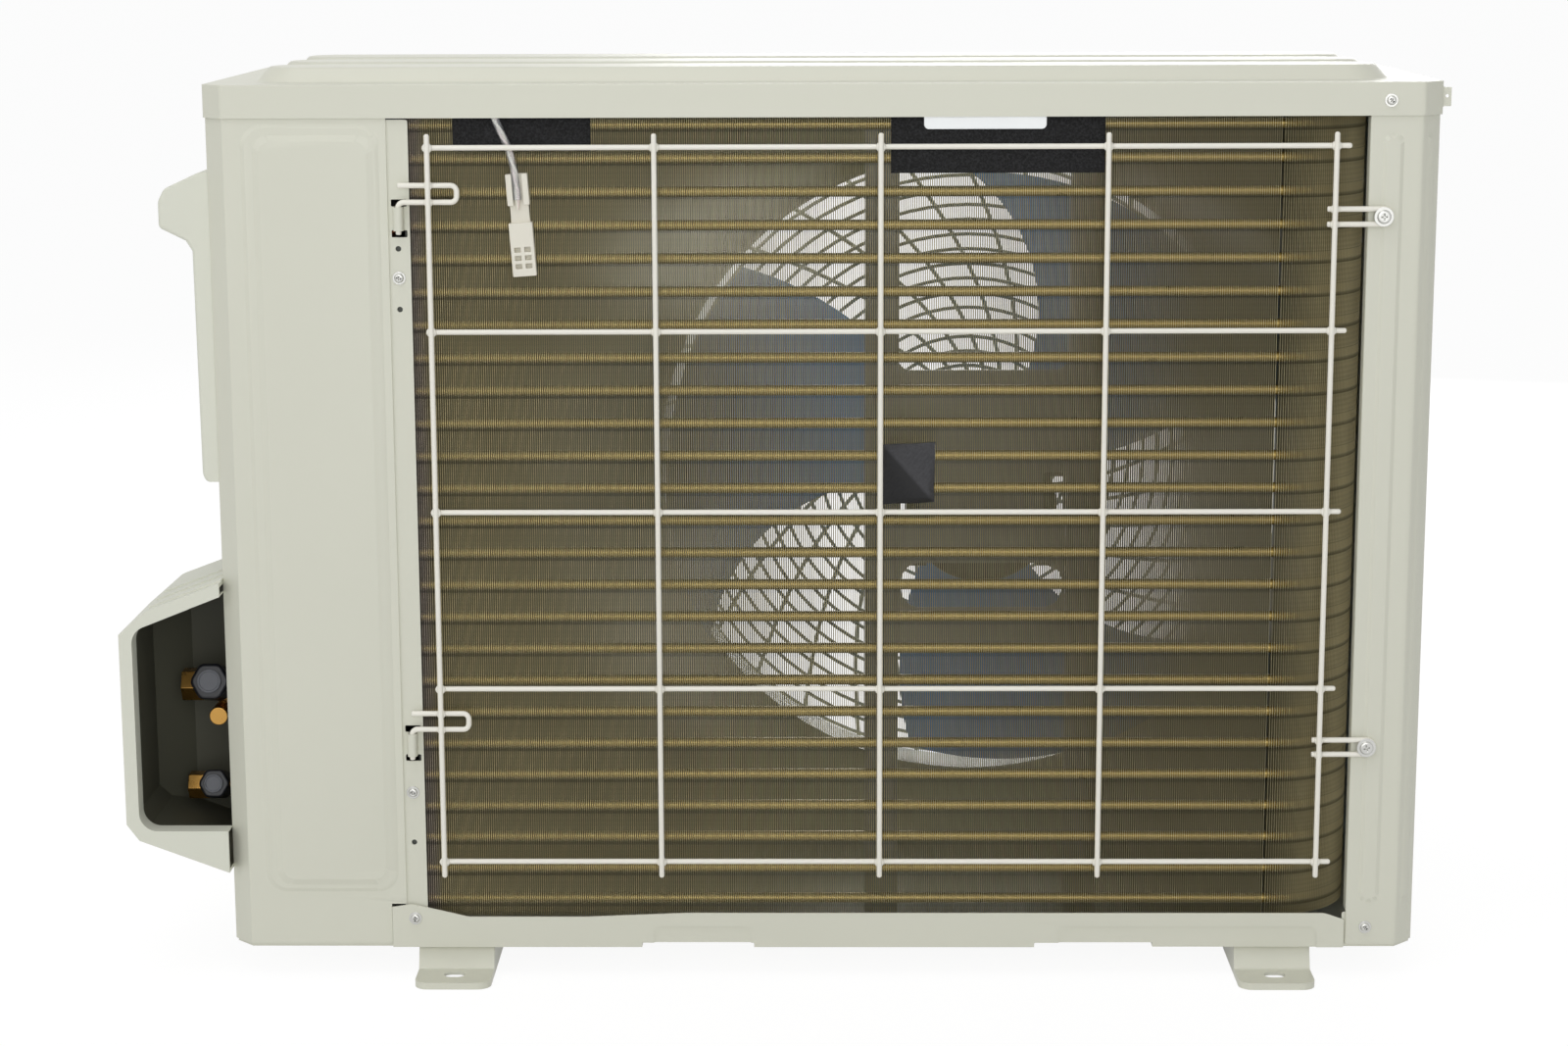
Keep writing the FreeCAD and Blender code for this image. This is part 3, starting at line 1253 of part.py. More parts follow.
def outward(points):
    """An outline whose first numbers are distances out from the cabinet's side, as X and Z."""
    return [(x_left - out, z) for out, z in points]


def make_terminal_cover():
    """Plastic cover with a hood whose open underside takes the fingers when the unit is carried."""
    low, high = terminal_cover_y
    w = plastic_wall
    face = -panel_inset
    outside = outward([(face, 330.3), (7.1, 330.3), (9.5, 334.5), (10.5, 480.0), (14.5, 486.6), (31.5, 495.0),
                       (31.5, 512.0), (27.3, 519.8), (4.5, 530.3), (face, 530.3)])
    inside = outward([(face - 1, 330.3 + w), (7.1, 330.3 + w), (8.3, 478.0), (12.1, 486.0), (12.1, 523.5),
                      (4.5, 527.4), (face - 1, 527.4)])
    pocket = outward([(29.3, 480.0), (14.5, 480.0), (14.5, 515.0), (25.0, 515.0), (29.3, 509.0)])
    cover = slab(outside, "xz", low, high)
    cover = cover.cut(slab(inside, "xz", low + w, high - w))
    return cover.cut(slab(pocket, "xz", low + 14, high - 14))


def make_valve_cover():
    """Plastic cover over the service valves, open to the rear for the pipes."""
    low, high = y_rear, cover_front_y
    w = plastic_wall
    face = -panel_inset
    bevel = 22.0
    outside = outward([(face, 71.0), (57.5, 93.0), (65.5, 104.0), (65.5, 232.0), (46.5, 248.0),
                       (face, 266.0)])
    inside = outward([(face - 1, 71.0 + w), (56.5, 95.4), (63.3, 105.0), (63.3, 231.0), (45.5, 245.8),
                      (face - 1, 263.5)])
    cover = slab(outside, "xz", low, high)
    cover = cover.cut(slab(inside, "xz", low + w, high - w))
    corner = outward([(66.5, high + 1), (66.5, high - bevel), (43.5, high + 1)])
    cover = cover.cut(slab(corner, "xy", 60.0, 280.0))
    bevel_wall = outward([(65.5, high - bevel), (44.5, high), (41.5, high), (41.5, high - w),
                          (63.3, high - bevel - 2.5), (65.5, high - bevel - 2.5)])
    cover = cover.fuse(slab(bevel_wall, "xy", 60.0, 280.0).common(slab(outside, "xz", low, high)))
    for rib_y in (low + 8.0, low + 32.0, low + 56.0):
        rib = outward([(46.5, 247.0), (46.5, 248.0 + cover_rib_height), (face, 266.0 + cover_rib_height),
                       (face, 265.0)])
        cover = cover.fuse(slab(rib, "xz", rib_y, rib_y + 9.0))

    def doorway(margin, start, end):
        opening = outward([(face - 1 + margin, 99.5 - margin), (57.0 + margin, 99.5 - margin),
                           (57.0 + margin, 234.0 + margin), (face - 1 + margin, 257.5 + margin)])
        near_cabinet = outward([(face - 1 + margin, 99.5 - margin), (18.7, 99.5 - margin),
                                (18.7, 249.3 + margin), (face - 1 + margin, 257.5 + margin)])
        return slab(opening, "xz", start, end, 12.0 + margin).fuse(slab(near_cabinet, "xz", start, end))

    lip = doorway(1.0, low + w / 2, low + cover_lip_depth)
    return cover.fuse(lip).cut(doorway(0.0, low - 1, low + cover_lip_depth + 1)).removeSplitter()


def make_guard_uprights():
    wires = [rod(V(x, guard_upright_y, guard_bottom), V(x, guard_upright_y, guard_top), wire_radius)
             for x in upright_x]
    return Part.makeCompound(wires)


def make_guard_cross_wires():
    ends = (first_upright - 3.0, last_upright + 10.0)
    wires = [rod(V(ends[0], guard_cross_y, z), V(ends[1], guard_cross_y, z), wire_radius) for z in cross_z]
    return Part.makeCompound(wires)


def make_hinge_hooks():
    """Hairpins on the left upright: the lower wire turns down behind the panel's strap."""
    hooks = []
    y = guard_cross_y
    bend = hook_drop / 2 - 0.01
    for top in hook_tops:
        low = top - hook_drop
        hooks.append(pipe([(hinge_x, y, top), (hook_right + bend, y, top), (hook_right + bend, y, low),
                           (hinge_x, y, low), (hinge_x, y, low - hook_leg)], bend * 0.72, wire_radius))
    return Part.makeCompound(hooks)


def make_screw_loops():
    """Hairpins on the right upright that go round the guard screws."""
    loops = []
    y = guard_cross_y
    loop_left = last_upright - 4.5
    for screw_z in guard_screw_z:
        r = screw_loop_radius
        path = [
            Part.LineSegment(V(loop_left, y, screw_z + r), V(guard_screw_x, y, screw_z + r)).toShape(),
            Part.Arc(V(guard_screw_x, y, screw_z + r), V(guard_screw_x + r, y, screw_z),
                     V(guard_screw_x, y, screw_z - r)).toShape(),
            Part.LineSegment(V(guard_screw_x, y, screw_z - r), V(loop_left, y, screw_z - r)).toShape(),
        ]
        circle = Part.Circle(V(loop_left, y, screw_z + r), V(1, 0, 0), wire_radius).toShape()
        solid = Part.Wire(path).makePipe(Part.Face(Part.Wire(circle)))
        loops.append(solid)
    return Part.makeCompound(loops)


def make_guard_screws():
    """Screws with a wide head that hold the wire loops to the coil side panel."""
    screws = []
    head_y = guard_cross_y - wire_radius
    for screw_z in guard_screw_z:
        head = rod(V(guard_screw_x, head_y - 2.2, screw_z), V(guard_screw_x, head_y, screw_z), 6.2)
        shank = rod(V(guard_screw_x, head_y, screw_z), V(guard_screw_x, head_y + 12, screw_z), screw_radius)
        screws.append(head.fuse(shank).removeSplitter())
    return Part.makeCompound(screws)


def make_cabinet_screws():
    screws = [screw(place, direction) for place, direction in cabinet_screw_places]
    for screw_x, screw_z in grille_screw_places():
        screws.append(screw(V(screw_x, grille_back + 3.0, screw_z), V(0, -1, 0)))
    return Part.makeCompound(screws)


def make_sensor_holder():
    """Plastic holder clipped to the fins: a box with small windows and an open clip above."""
    low, high = sensor_z
    back, front = coil_rear, coil_rear - sensor_depth
    holder = block((-7.5, 7.5), (front, back), (low, low + 34))
    stem = block((-6.0, 6.0), (front + 4, back), (low + 34, high))
    for side in (-1, 1):
        stem = stem.fuse(block((min(side * 3.2, side * 7.0), max(side * 3.2, side * 7.0)), (front, back),
                               (high - 20, high)))
    holder = holder.fuse(stem)
    for column in (-3.2, 3.2):
        for row in range(3):
            window = low + 5.0 + 5.2 * row
            holder = holder.cut(block((column - 2.0, column + 2.0), (front - 1, front + 4),
                                      (window, window + 3.0)))
    holder.rotate(V(0, back, (low + high) / 2), V(0, 1, 0), -sensor_tilt)
    holder.translate(V(sensor_x, 0, 0))
    return holder.removeSplitter()


def make_sensor_lead():
    """Sleeved lead that comes from under the cover and ends in the holder's clip."""
    y = coil_rear - 4.8
    return pipe([(-238.0, y, 580.0), (-232.5, y, 562.0), (-224.5, y, 546.0), (-221.0, y, 530.0),
                 (-219.6, y, 513.5)], 24.0, 1.5)


nodes = {
    "base_pan": make_base_pan,
    "foot_valve_side": lambda: make_foot(-foot_spacing_x / 2),
    "foot_coil_side": lambda: make_foot(foot_spacing_x / 2),
    "valve_side_panel": make_valve_side_panel,
    "coil_side_panel": make_coil_side_panel,
    "front_panel": make_front_panel,
    "top_cover": make_top_cover,
    "fan_grille": make_grille,
    "fan_grille_rings": make_grille_rings,
    "partition": make_partition,
    "coil_fins": make_coil_fins,
    "coil_end_plate_near": make_near_end_plate,
    "coil_end_plate_far": make_far_end_plate,
    "coil_return_bends": make_return_bends,
    "coil_hairpins": make_hairpins,
    "coil_foam_strips": make_foam_strips,
    "coil_foam_pad": make_foam_pad,
    "motor_rail_left": lambda: make_motor_rail(-1),
    "motor_rail_right": lambda: make_motor_rail(1),
    "motor_bracket_top": lambda: Part.makeCompound([make_bracket_top(), make_motor_plate()]),
    "fan_motor": make_fan_motor,
    "motor_shaft": make_motor_shaft,
    "fan": make_fan,
    "fan_nut": make_fan_nut,
    "compressor": make_compressor,
    "compressor_grommets": make_grommets,
    "compressor_studs": make_studs,
    "compressor_terminal_cap": make_compressor_cap,
    "accumulator": make_accumulator,
    "accumulator_strap": make_accumulator_strap,
    "four_way_valve": make_four_way_valve,
    "four_way_coil": make_four_way_coil,
    "expansion_valve": make_expansion_valve,
    "valve_plate": make_valve_plate,
    "gas_valve": lambda: make_service_valve("gas"),
    "liquid_valve": lambda: make_service_valve("liquid"),
    "gas_stem_cap": lambda: make_stem_cap("gas"),
    "liquid_stem_cap": lambda: make_stem_cap("liquid"),
    "gas_flare_nut": lambda: make_flare_nut("gas"),
    "liquid_flare_nut": lambda: make_flare_nut("liquid"),
    "service_port_cap": make_service_port_cap,
    "electrical_box": make_electrical_box,
    "circuit_board": make_circuit_board,
    "terminal_block": make_terminal_block,
    "terminal_cover": make_terminal_cover,
    "valve_cover": make_valve_cover,
    "guard_uprights": make_guard_uprights,
    "guard_cross_wires": make_guard_cross_wires,
    "guard_hinge_hooks": make_hinge_hooks,
    "guard_screw_loops": make_screw_loops,
    "guard_screws": make_guard_screws,
    "cabinet_screws": make_cabinet_screws,
    "sensor_holder": make_sensor_holder,
    "sensor_lead": make_sensor_lead,
}

os.makedirs("parts", exist_ok=True)
for name, make in nodes.items():
    shape = make()
    shape.exportStep("parts/" + name + ".step")
    print(name, "solids", len(shape.Solids), "valid", shape.isValid(), "volume", round(shape.Volume))
for name, shape in make_pipes().items():
    shape.exportStep("parts/" + name + ".step")
    print(name, "solids", len(shape.Solids), "valid", shape.isValid(), "volume", round(shape.Volume))
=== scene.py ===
# %% [markdown]
# # Outdoor unit of a split air conditioner
#
# The object is the box that stands outside a house and gives the room's heat to the air. We look
# at its rear, where air is drawn in through a finned coil behind a wire guard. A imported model
# already holds every part at its real size, so this lesson only makes the parts look real: soft
# folds in the sheet metal, hundreds of thin fins, moulded plastic, brass and rubber.

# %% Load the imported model
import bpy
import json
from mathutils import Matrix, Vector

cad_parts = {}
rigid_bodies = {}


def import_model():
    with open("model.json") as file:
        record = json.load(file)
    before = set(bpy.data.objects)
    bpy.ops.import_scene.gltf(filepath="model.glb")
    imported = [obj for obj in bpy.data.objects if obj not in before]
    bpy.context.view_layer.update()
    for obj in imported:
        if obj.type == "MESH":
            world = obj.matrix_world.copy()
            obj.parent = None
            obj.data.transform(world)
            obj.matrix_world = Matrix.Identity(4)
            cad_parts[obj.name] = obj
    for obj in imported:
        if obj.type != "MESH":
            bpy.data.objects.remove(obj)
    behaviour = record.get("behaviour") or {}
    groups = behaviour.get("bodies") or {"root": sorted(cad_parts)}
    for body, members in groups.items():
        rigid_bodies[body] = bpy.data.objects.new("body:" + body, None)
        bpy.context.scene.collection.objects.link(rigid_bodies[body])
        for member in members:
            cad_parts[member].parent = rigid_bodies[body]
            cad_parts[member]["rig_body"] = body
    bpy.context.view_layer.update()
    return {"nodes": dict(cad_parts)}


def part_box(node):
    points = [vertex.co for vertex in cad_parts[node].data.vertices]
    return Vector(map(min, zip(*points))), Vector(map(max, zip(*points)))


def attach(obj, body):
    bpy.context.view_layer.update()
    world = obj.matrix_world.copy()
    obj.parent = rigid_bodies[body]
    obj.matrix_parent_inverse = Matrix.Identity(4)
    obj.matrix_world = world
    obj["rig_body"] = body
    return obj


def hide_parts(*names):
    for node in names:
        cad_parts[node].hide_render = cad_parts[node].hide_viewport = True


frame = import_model()

# %% [markdown]
# Lengths below are written in metres. The helper `mm` lets a small size be written in millimetres.
# A shader node takes plain values and links in the same way, so one helper places every node.

# %% Tools for the whole lesson
import bpy
import bmesh
import json
import math
import random
from mathutils import Matrix, Vector

rng = random.Random(11)


def mm(value):
    """Millimetres as metres."""
    return value / 1000.0


def paint(red, green, blue):
    """A colour picked from 0 to 255, as the linear colour that a shader wants."""
    channels = []
    for value in (red, green, blue):
        share = value / 255.0
        channels.append(share / 12.92 if share <= 0.04045 else ((share + 0.055) / 1.055) ** 2.4)
    return (*channels, 1.0)


def feed(tree, socket, value):
    """Link another node's output to an input, or set the input to a plain value."""
    if isinstance(value, bpy.types.NodeSocket):
        tree.links.new(value, socket)
    else:
        socket.default_value = value


def add_node(tree, kind, inputs=None, **settings):
    """A shader node with its settings and inputs. What comes back is its outputs."""
    node = tree.nodes.new("ShaderNode" + kind)
    for label, value in settings.items():
        setattr(node, label, value)
    for slot, value in (inputs or {}).items():
        feed(tree, node.inputs[slot], value)
    return node.outputs


def math_node(tree, operation, *values):
    """The result of one Math node."""
    return add_node(tree, "Math", dict(enumerate(values)), operation=operation)[0]


# %% [markdown]
# The photograph was taken from just above the unit's middle, with a long lens, so that its sides
# stay nearly straight. We place the camera first: everything is judged through it. The turn is
# built from three small angles, a tilt down, a slight turn to the left and a hair of roll.

# %% Camera
photo_width = 1600
focal_pixels = 3148.0
sensor_width = 36.0
camera_place = Vector((mm(-28.3), mm(-2083.0), mm(682.6)))
tilt_down = math.radians(10.94)
turn_left = math.radians(0.69)
roll = math.radians(-0.20)

bpy.ops.object.camera_add(location=camera_place)
camera = bpy.context.object
camera.name = "photo_camera"
camera.data.sensor_width = sensor_width
camera.data.lens = focal_pixels / photo_width * sensor_width
aim = Matrix.Rotation(turn_left, 4, "Z") @ Matrix.Rotation(math.pi / 2 - tilt_down, 4, "X")
camera.matrix_world = Matrix.Translation(camera_place) @ aim @ Matrix.Rotation(roll, 4, "Z")
bpy.context.scene.camera = camera
print("lens", round(camera.data.lens, 2), "mm")

# %% [markdown]
# A product photograph like this has a white ground and light from all round. The world gives
# the even light, one wide lamp above models the folds, and one beside the camera keeps the rear
# from going grey. The floor is pale, and camera rays see it lifted towards white.

# %% World, lamps and floor
scene = bpy.context.scene
scene.view_settings.view_transform = "Standard"
white = (1.0, 1.0, 1.0, 1.0)
floor_size = 90.0
floor_glow = 1.06
floor_lift = 0.87


def seen_directly(tree):
    """One where a ray comes straight from the camera, a mirror or clear plastic, else zero."""
    path = add_node(tree, "LightPath")
    straight = math_node(tree, "MAXIMUM", path["Is Camera Ray"], path["Is Glossy Ray"])
    return math_node(tree, "MAXIMUM", straight, path["Is Transmission Ray"])


world = bpy.data.worlds.new("studio")
scene.world = world
world.use_nodes = True
tree = world.node_tree
light_world = tree.nodes["Background"]
light_world.inputs["Color"].default_value = (0.97, 0.98, 1.0, 1.0)
light_world.inputs["Strength"].default_value = 0.44
white_world = add_node(tree, "Background", {"Color": white, "Strength": 1.0})
mix = add_node(tree, "MixShader", {0: seen_directly(tree), 1: light_world.outputs[0], 2: white_world[0]})
tree.links.new(mix[0], tree.nodes["World Output"].inputs["Surface"])


def add_lamp(name, place, target, size, watts):
    """A square area lamp that points at a target."""
    bpy.ops.object.light_add(type="AREA", location=place)
    lamp = bpy.context.object
    lamp.name = name
    lamp.data.size = size
    lamp.data.energy = watts
    lamp.visible_camera = False
    direction = Vector(target) - Vector(place)
    lamp.rotation_euler = direction.to_track_quat("-Z", "Y").to_euler()
    return lamp


add_lamp("lamp_above", (-0.5, -0.7, 2.6), (0.0, 0.0, 0.4), 1.8, 17.0)
add_lamp("lamp_rear_left", (-2.0, -2.2, 1.5), (0.0, 0.0, 0.3), 1.4, 9.0)
add_lamp("lamp_camera", (0.1, -2.9, 1.0), (0.0, 0.0, 0.3), 1.6, 19.5)
add_lamp("lamp_front", (0.6, 2.4, 1.0), (0.0, 0.1, 0.3), 1.8, 30.0)

bpy.ops.mesh.primitive_plane_add(size=floor_size, location=(0.0, floor_size / 3, mm(-0.2)))
floor = bpy.context.object
floor.name = "studio_floor"
floor_material = bpy.data.materials.new("studio floor")
floor_material.use_nodes = True
tree = floor_material.node_tree
tree.nodes.clear()
matt = add_node(tree, "BsdfDiffuse", {"Color": (0.86, 0.86, 0.85, 1.0)})
glow = add_node(tree, "Emission", {"Color": white, "Strength": floor_glow})
lift = math_node(tree, "MULTIPLY", seen_directly(tree), floor_lift)
mix = add_node(tree, "MixShader", {0: lift, 1: matt[0], 2: glow[0]})
add_node(tree, "OutputMaterial", {"Surface": mix[0]})
floor.data.materials.append(floor_material)

# %% [markdown]
# ## Finishes
#
# Three effects turn up on nearly every surface, so each is a node group that is made once: a fine
# grain in the height of the surface, a slow drift of tone across a piece, and a little dust on
# faces that look up. The groups give colours, roughness and heights, and the shader itself stays in
# each material.

# %% Start a node group
number, color = "NodeSocketFloat", "NodeSocketColor"
plain_grey = (0.8, 0.8, 0.8, 1.0)
dust_brown = (0.45, 0.42, 0.36, 1.0)
coarse_grain = 0.13
coarse_height = 0.6
dust_patches = 38.0
dust_roughness = 0.3


def new_group(name, inputs, outputs):
    """A shader group with its sockets, what comes in, and the node that hands its results on."""
    group = bpy.data.node_groups.new(name, "ShaderNodeTree")
    for label, kind, start in inputs:
        socket = group.interface.new_socket(name=label, in_out="INPUT", socket_type=kind)
        socket.default_value = start
    for label, kind in outputs:
        group.interface.new_socket(name=label, in_out="OUTPUT", socket_type=kind)
    entry = group.nodes.new("NodeGroupInput").outputs
    return group, entry, group.nodes.new("NodeGroupOutput").inputs


def noise_node(tree, scale, detail):
    """Noise over the object's own coordinates."""
    place = add_node(tree, "TexCoord")["Object"]
    return add_node(tree, "TexNoise", {"Vector": place, "Scale": scale, "Detail": detail})["Fac"]


def scaled(tree, tone, level):
    """A colour made darker or lighter."""
    return add_node(tree, "VectorMath", {0: tone, "Scale": level}, operation="SCALE")[0]


def mixed(tree, factor, first, second):
    """A blend of two colours."""
    return add_node(tree, "Mix", {"Factor": factor, "A": first, "B": second}, data_type="RGBA")["Result"]


# %% Grain, drift and dust groups
grain_group, entry, leave = new_group("coat grain", [("Scale", number, 900.0)], [("Height", number)])
fine = noise_node(grain_group, entry["Scale"], 3.0)
wide_scale = math_node(grain_group, "MULTIPLY", entry["Scale"], coarse_grain)
coarse = math_node(grain_group, "MULTIPLY", noise_node(grain_group, wide_scale, 1.0), coarse_height)
feed(grain_group, leave["Height"], math_node(grain_group, "ADD", fine, coarse))

drift_group, entry, leave = new_group(
    "tone drift", [("Color", color, plain_grey), ("Amount", number, 0.05), ("Scale", number, 6.0)],
    [("Color", color), ("Value", number)])
cloud = noise_node(drift_group, entry["Scale"], 3.0)
swing = math_node(drift_group, "MULTIPLY", math_node(drift_group, "SUBTRACT", cloud, 0.5), entry["Amount"])
level = math_node(drift_group, "ADD", math_node(drift_group, "MULTIPLY", swing, 2.0), 1.0)
feed(drift_group, leave["Color"], scaled(drift_group, entry["Color"], level))
feed(drift_group, leave["Value"], cloud)

dust_group, entry, leave = new_group(
    "settled dust", [("Color", color, plain_grey), ("Roughness", number, 0.5), ("Amount", number, 0.1),
                     ("Dust", color, dust_brown)],
    [("Color", color), ("Roughness", number)])
facing = add_node(dust_group, "SeparateXYZ", {0: add_node(dust_group, "NewGeometry")["Normal"]})
upward = math_node(dust_group, "MAXIMUM", facing["Z"], 0.0)
patches = math_node(dust_group, "MULTIPLY", upward, noise_node(dust_group, dust_patches, 4.0))
mask = math_node(dust_group, "MULTIPLY", patches, entry["Amount"])
feed(dust_group, leave["Color"], mixed(dust_group, mask, entry["Color"], entry["Dust"]))
rougher = math_node(dust_group, "MULTIPLY", mask, dust_roughness)
feed(dust_group, leave["Roughness"], math_node(dust_group, "ADD", entry["Roughness"], rougher))
print("groups", [group.name for group in bpy.data.node_groups])


# %% [markdown]
# Every finish starts in the same way: a colour that drifts a little, a roughness that drifts with
# it, and a bump from the grain. The numbers tell the finishes apart. Powder coat has a soft orange
# peel about a millimetre across, moulded plastic a finer spark grain, and bare metal streaks.

# %% Make one finish
def group_node(tree, group, **inputs):
    """A placed group with its inputs set by name."""
    return add_node(tree, "Group", inputs, node_tree=group)


def make_finish(name, tone, roughness, metallic=0.0, drift=0.04, drift_scale=7.0, rough_drift=0.08,
                grain_scale=900.0, grain_height=0.02, dust=0.0):
    """A Principled material whose colour, roughness and normal come from the groups."""
    material = bpy.data.materials.new(name)
    material.use_nodes = True
    tree = material.node_tree
    drifting = group_node(tree, drift_group, Color=tone, Amount=drift, Scale=drift_scale)
    rough = math_node(tree, "ADD", roughness - rough_drift / 2,
                      math_node(tree, "MULTIPLY", drifting["Value"], rough_drift))
    dusty = group_node(tree, dust_group, Color=drifting["Color"], Roughness=rough, Amount=dust)
    grain = group_node(tree, grain_group, Scale=grain_scale)
    bump = add_node(tree, "Bump", {"Strength": 1.0, "Distance": mm(grain_height),
                                   "Height": grain["Height"]})
    for label, value in (("Metallic", metallic), ("Base Color", dusty["Color"]),
                         ("Roughness", dusty["Roughness"]), ("Normal", bump["Normal"])):
        feed(tree, tree.nodes["Principled BSDF"].inputs[label], value)
    return material


def recolour(material, change):
    """Send a finish's colour through a function that adds nodes."""
    tree = material.node_tree
    socket = tree.nodes["Principled BSDF"].inputs["Base Color"]
    feed(tree, socket, change(tree, socket.links[0].from_socket))


# %% The finishes of this object
cabinet_paint = make_finish("cabinet paint", paint(214, 214, 199), 0.42, drift=0.02, grain_scale=700.0,
                            grain_height=0.03, dust=0.10)
cover_plastic = make_finish("cover plastic", paint(217, 218, 204), 0.5, drift=0.02, grain_scale=2200.0,
                            grain_height=0.02, dust=0.10)
wire_coating = make_finish("wire coating", paint(238, 235, 224), 0.38, drift=0.03, grain_scale=500.0,
                           grain_height=0.05)
zinc = make_finish("zinc plate", paint(196, 196, 192), 0.3, metallic=1.0, drift=0.10, drift_scale=120.0,
                   grain_scale=1500.0, grain_height=0.01)
galvanised = make_finish("galvanised sheet", paint(178, 180, 180), 0.38, metallic=1.0, drift=0.16,
                         drift_scale=60.0, rough_drift=0.2, grain_scale=400.0, grain_height=0.01)
motor_steel = make_finish("motor steel", paint(120, 121, 122), 0.36, metallic=1.0, drift=0.10,
                          drift_scale=40.0)
copper = make_finish("drawn copper", paint(196, 118, 82), 0.30, metallic=1.0, drift=0.16, drift_scale=45.0,
                     rough_drift=0.15)
brass = make_finish("turned brass", paint(190, 146, 78), 0.28, metallic=1.0, drift=0.14, drift_scale=90.0,
                    rough_drift=0.12)
nut_black = make_finish("black nut coat", paint(30, 31, 36), 0.34, drift=0.2, drift_scale=150.0)
black_paint = make_finish("compressor paint", paint(26, 26, 27), 0.42, drift=0.2, drift_scale=30.0,
                          dust=0.3)
rubber = make_finish("mount rubber", paint(28, 28, 28), 0.75, drift=0.2, drift_scale=80.0)
foam = make_finish("foam", paint(24, 24, 25), 0.95, drift=4.0, drift_scale=900.0, grain_scale=900.0,
                   grain_height=0.7)
pad_foam = make_finish("moulded foam", paint(46, 46, 48), 0.8, drift=0.5, drift_scale=500.0,
                       grain_scale=1100.0, grain_height=0.35)
fan_blue = make_finish("fan plastic", paint(104, 156, 206), 0.45, drift=0.06, drift_scale=12.0,
                       grain_scale=1500.0, dust=0.1)
fan_blue.node_tree.nodes["Principled BSDF"].inputs["Transmission Weight"].default_value = 0.4
black_plastic = make_finish("black plastic", paint(24, 24, 25), 0.5, drift=0.15, drift_scale=60.0)
box_plastic = make_finish("box plastic", paint(96, 96, 94), 0.55, drift=0.08, drift_scale=20.0)
board_green = make_finish("board lacquer", paint(34, 96, 52), 0.3, drift=0.2, drift_scale=220.0)
sensor_white = make_finish("sensor plastic", paint(226, 222, 208), 0.45, drift=0.03, drift_scale=80.0,
                           grain_scale=2500.0)
grille_plastic = make_finish("grille plastic", paint(205, 206, 192), 0.5, drift=0.02, grain_scale=2200.0)
print("finishes", len(bpy.data.materials))

# %% [markdown]
# ## Shaping helpers
#
# A few steps come back for every piece: add a primitive, pick faces or edges by a test and apply a
# modifier. Each is written once here. Nothing else is ever selected, because an operator acts on all
# that is selected, and a finished piece keeps its place in its mesh.

# %% Select, add, pick and modify
def select_only(piece):
    """Nothing but this piece is selected, and it is the active one."""
    bpy.ops.object.select_all(action="DESELECT")
    piece.select_set(True)
    bpy.context.view_layer.objects.active = piece


def bake_place(piece):
    """The piece's place, turn and size go into its mesh."""
    select_only(piece)
    bpy.ops.object.transform_apply(location=True, rotation=True, scale=True)
    return piece


def add_piece(add, name, scale=(1.0, 1.0, 1.0), **values):
    """A primitive at its size and place."""
    bpy.ops.object.select_all(action="DESELECT")
    add(**values)
    piece = bpy.context.object
    piece.name = name
    piece.scale = scale
    return bake_place(piece)


def object_mode():
    """Leave edit mode."""
    bpy.ops.object.mode_set(mode="OBJECT")


def edit_all(piece):
    """Enter edit mode with the whole piece selected."""
    select_only(piece)
    bpy.ops.object.mode_set(mode="EDIT")
    bpy.ops.mesh.select_mode(type="VERT")
    bpy.ops.mesh.select_all(action="SELECT")


def pick(piece, kind, test):
    """In edit mode, select only the faces or edges that pass a test."""
    if piece.mode != "EDIT":
        select_only(piece)
        bpy.ops.object.mode_set(mode="EDIT")
    bpy.ops.mesh.select_mode(type=kind)
    bpy.ops.mesh.select_all(action="DESELECT")
    shape = bmesh.from_edit_mesh(piece.data)
    for part in (shape.faces if kind == "FACE" else shape.edges):
        part.select_set(test(part))
    bmesh.update_edit_mesh(piece.data)


def modify(piece, kind, **values):
    """Add a modifier with the given values and apply it."""
    select_only(piece)
    modifier = piece.modifiers.new(kind.lower(), kind)
    for label, value in values.items():
        setattr(modifier, label, value)
    bpy.ops.object.modifier_apply(modifier=modifier.name)
    return piece


def ease(piece, edge, rounds=2, angle=32.0):
    """A small bevel on every edge that turns by more than an angle."""
    return modify(piece, "BEVEL", limit_method="ANGLE", angle_limit=math.radians(angle), width=mm(edge),
                  segments=rounds)


def bevel_edges(piece, test, offset, rounds):
    """Bevel the edges that pass a test."""
    pick(piece, "EDGE", test)
    bpy.ops.mesh.bevel(offset=offset, segments=rounds, affect="EDGES", clamp_overlap=True)
    object_mode()


def smooth(piece, angle=35.0):
    """Smooth shading that leaves flat faces flat and keeps edges sharper than the angle."""
    select_only(piece)
    bpy.ops.object.shade_smooth_by_angle(angle=math.radians(angle))
    return modify(piece, "WEIGHTED_NORMAL", keep_sharp=True)


def join(pieces, name):
    """Several pieces as one."""
    bpy.ops.object.select_all(action="DESELECT")
    for piece in pieces:
        piece.select_set(True)
    bpy.context.view_layer.objects.active = pieces[0]
    if len(pieces) > 1:
        bpy.ops.object.join()
    joined = bpy.context.object
    joined.name = name
    return joined


def copy_of(piece, name, place):
    """A copy with its own mesh, moved or turned by a matrix."""
    other = bpy.data.objects.new(name, piece.data.copy())
    bpy.context.scene.collection.objects.link(other)
    other.data.transform(place)
    return other


def turned_about(centre, angle, axis):
    """The matrix of a turn about a line through a point."""
    return Matrix.Translation(centre) @ Matrix.Rotation(angle, 4, axis) @ Matrix.Translation(-centre)


# %% [markdown]
# A node's mesh stays as it is, so a softer piece starts as a free copy of it. The copy's loose
# triangles are merged into whole faces first, because a bevel follows the edges between faces. The
# finished piece then stands for the node and rides on the same body. The separate solids of a node
# tell where its wires, screws or strips are.

# %% Copy a node, read its solids and hand a piece over
weld_distance = mm(0.004)


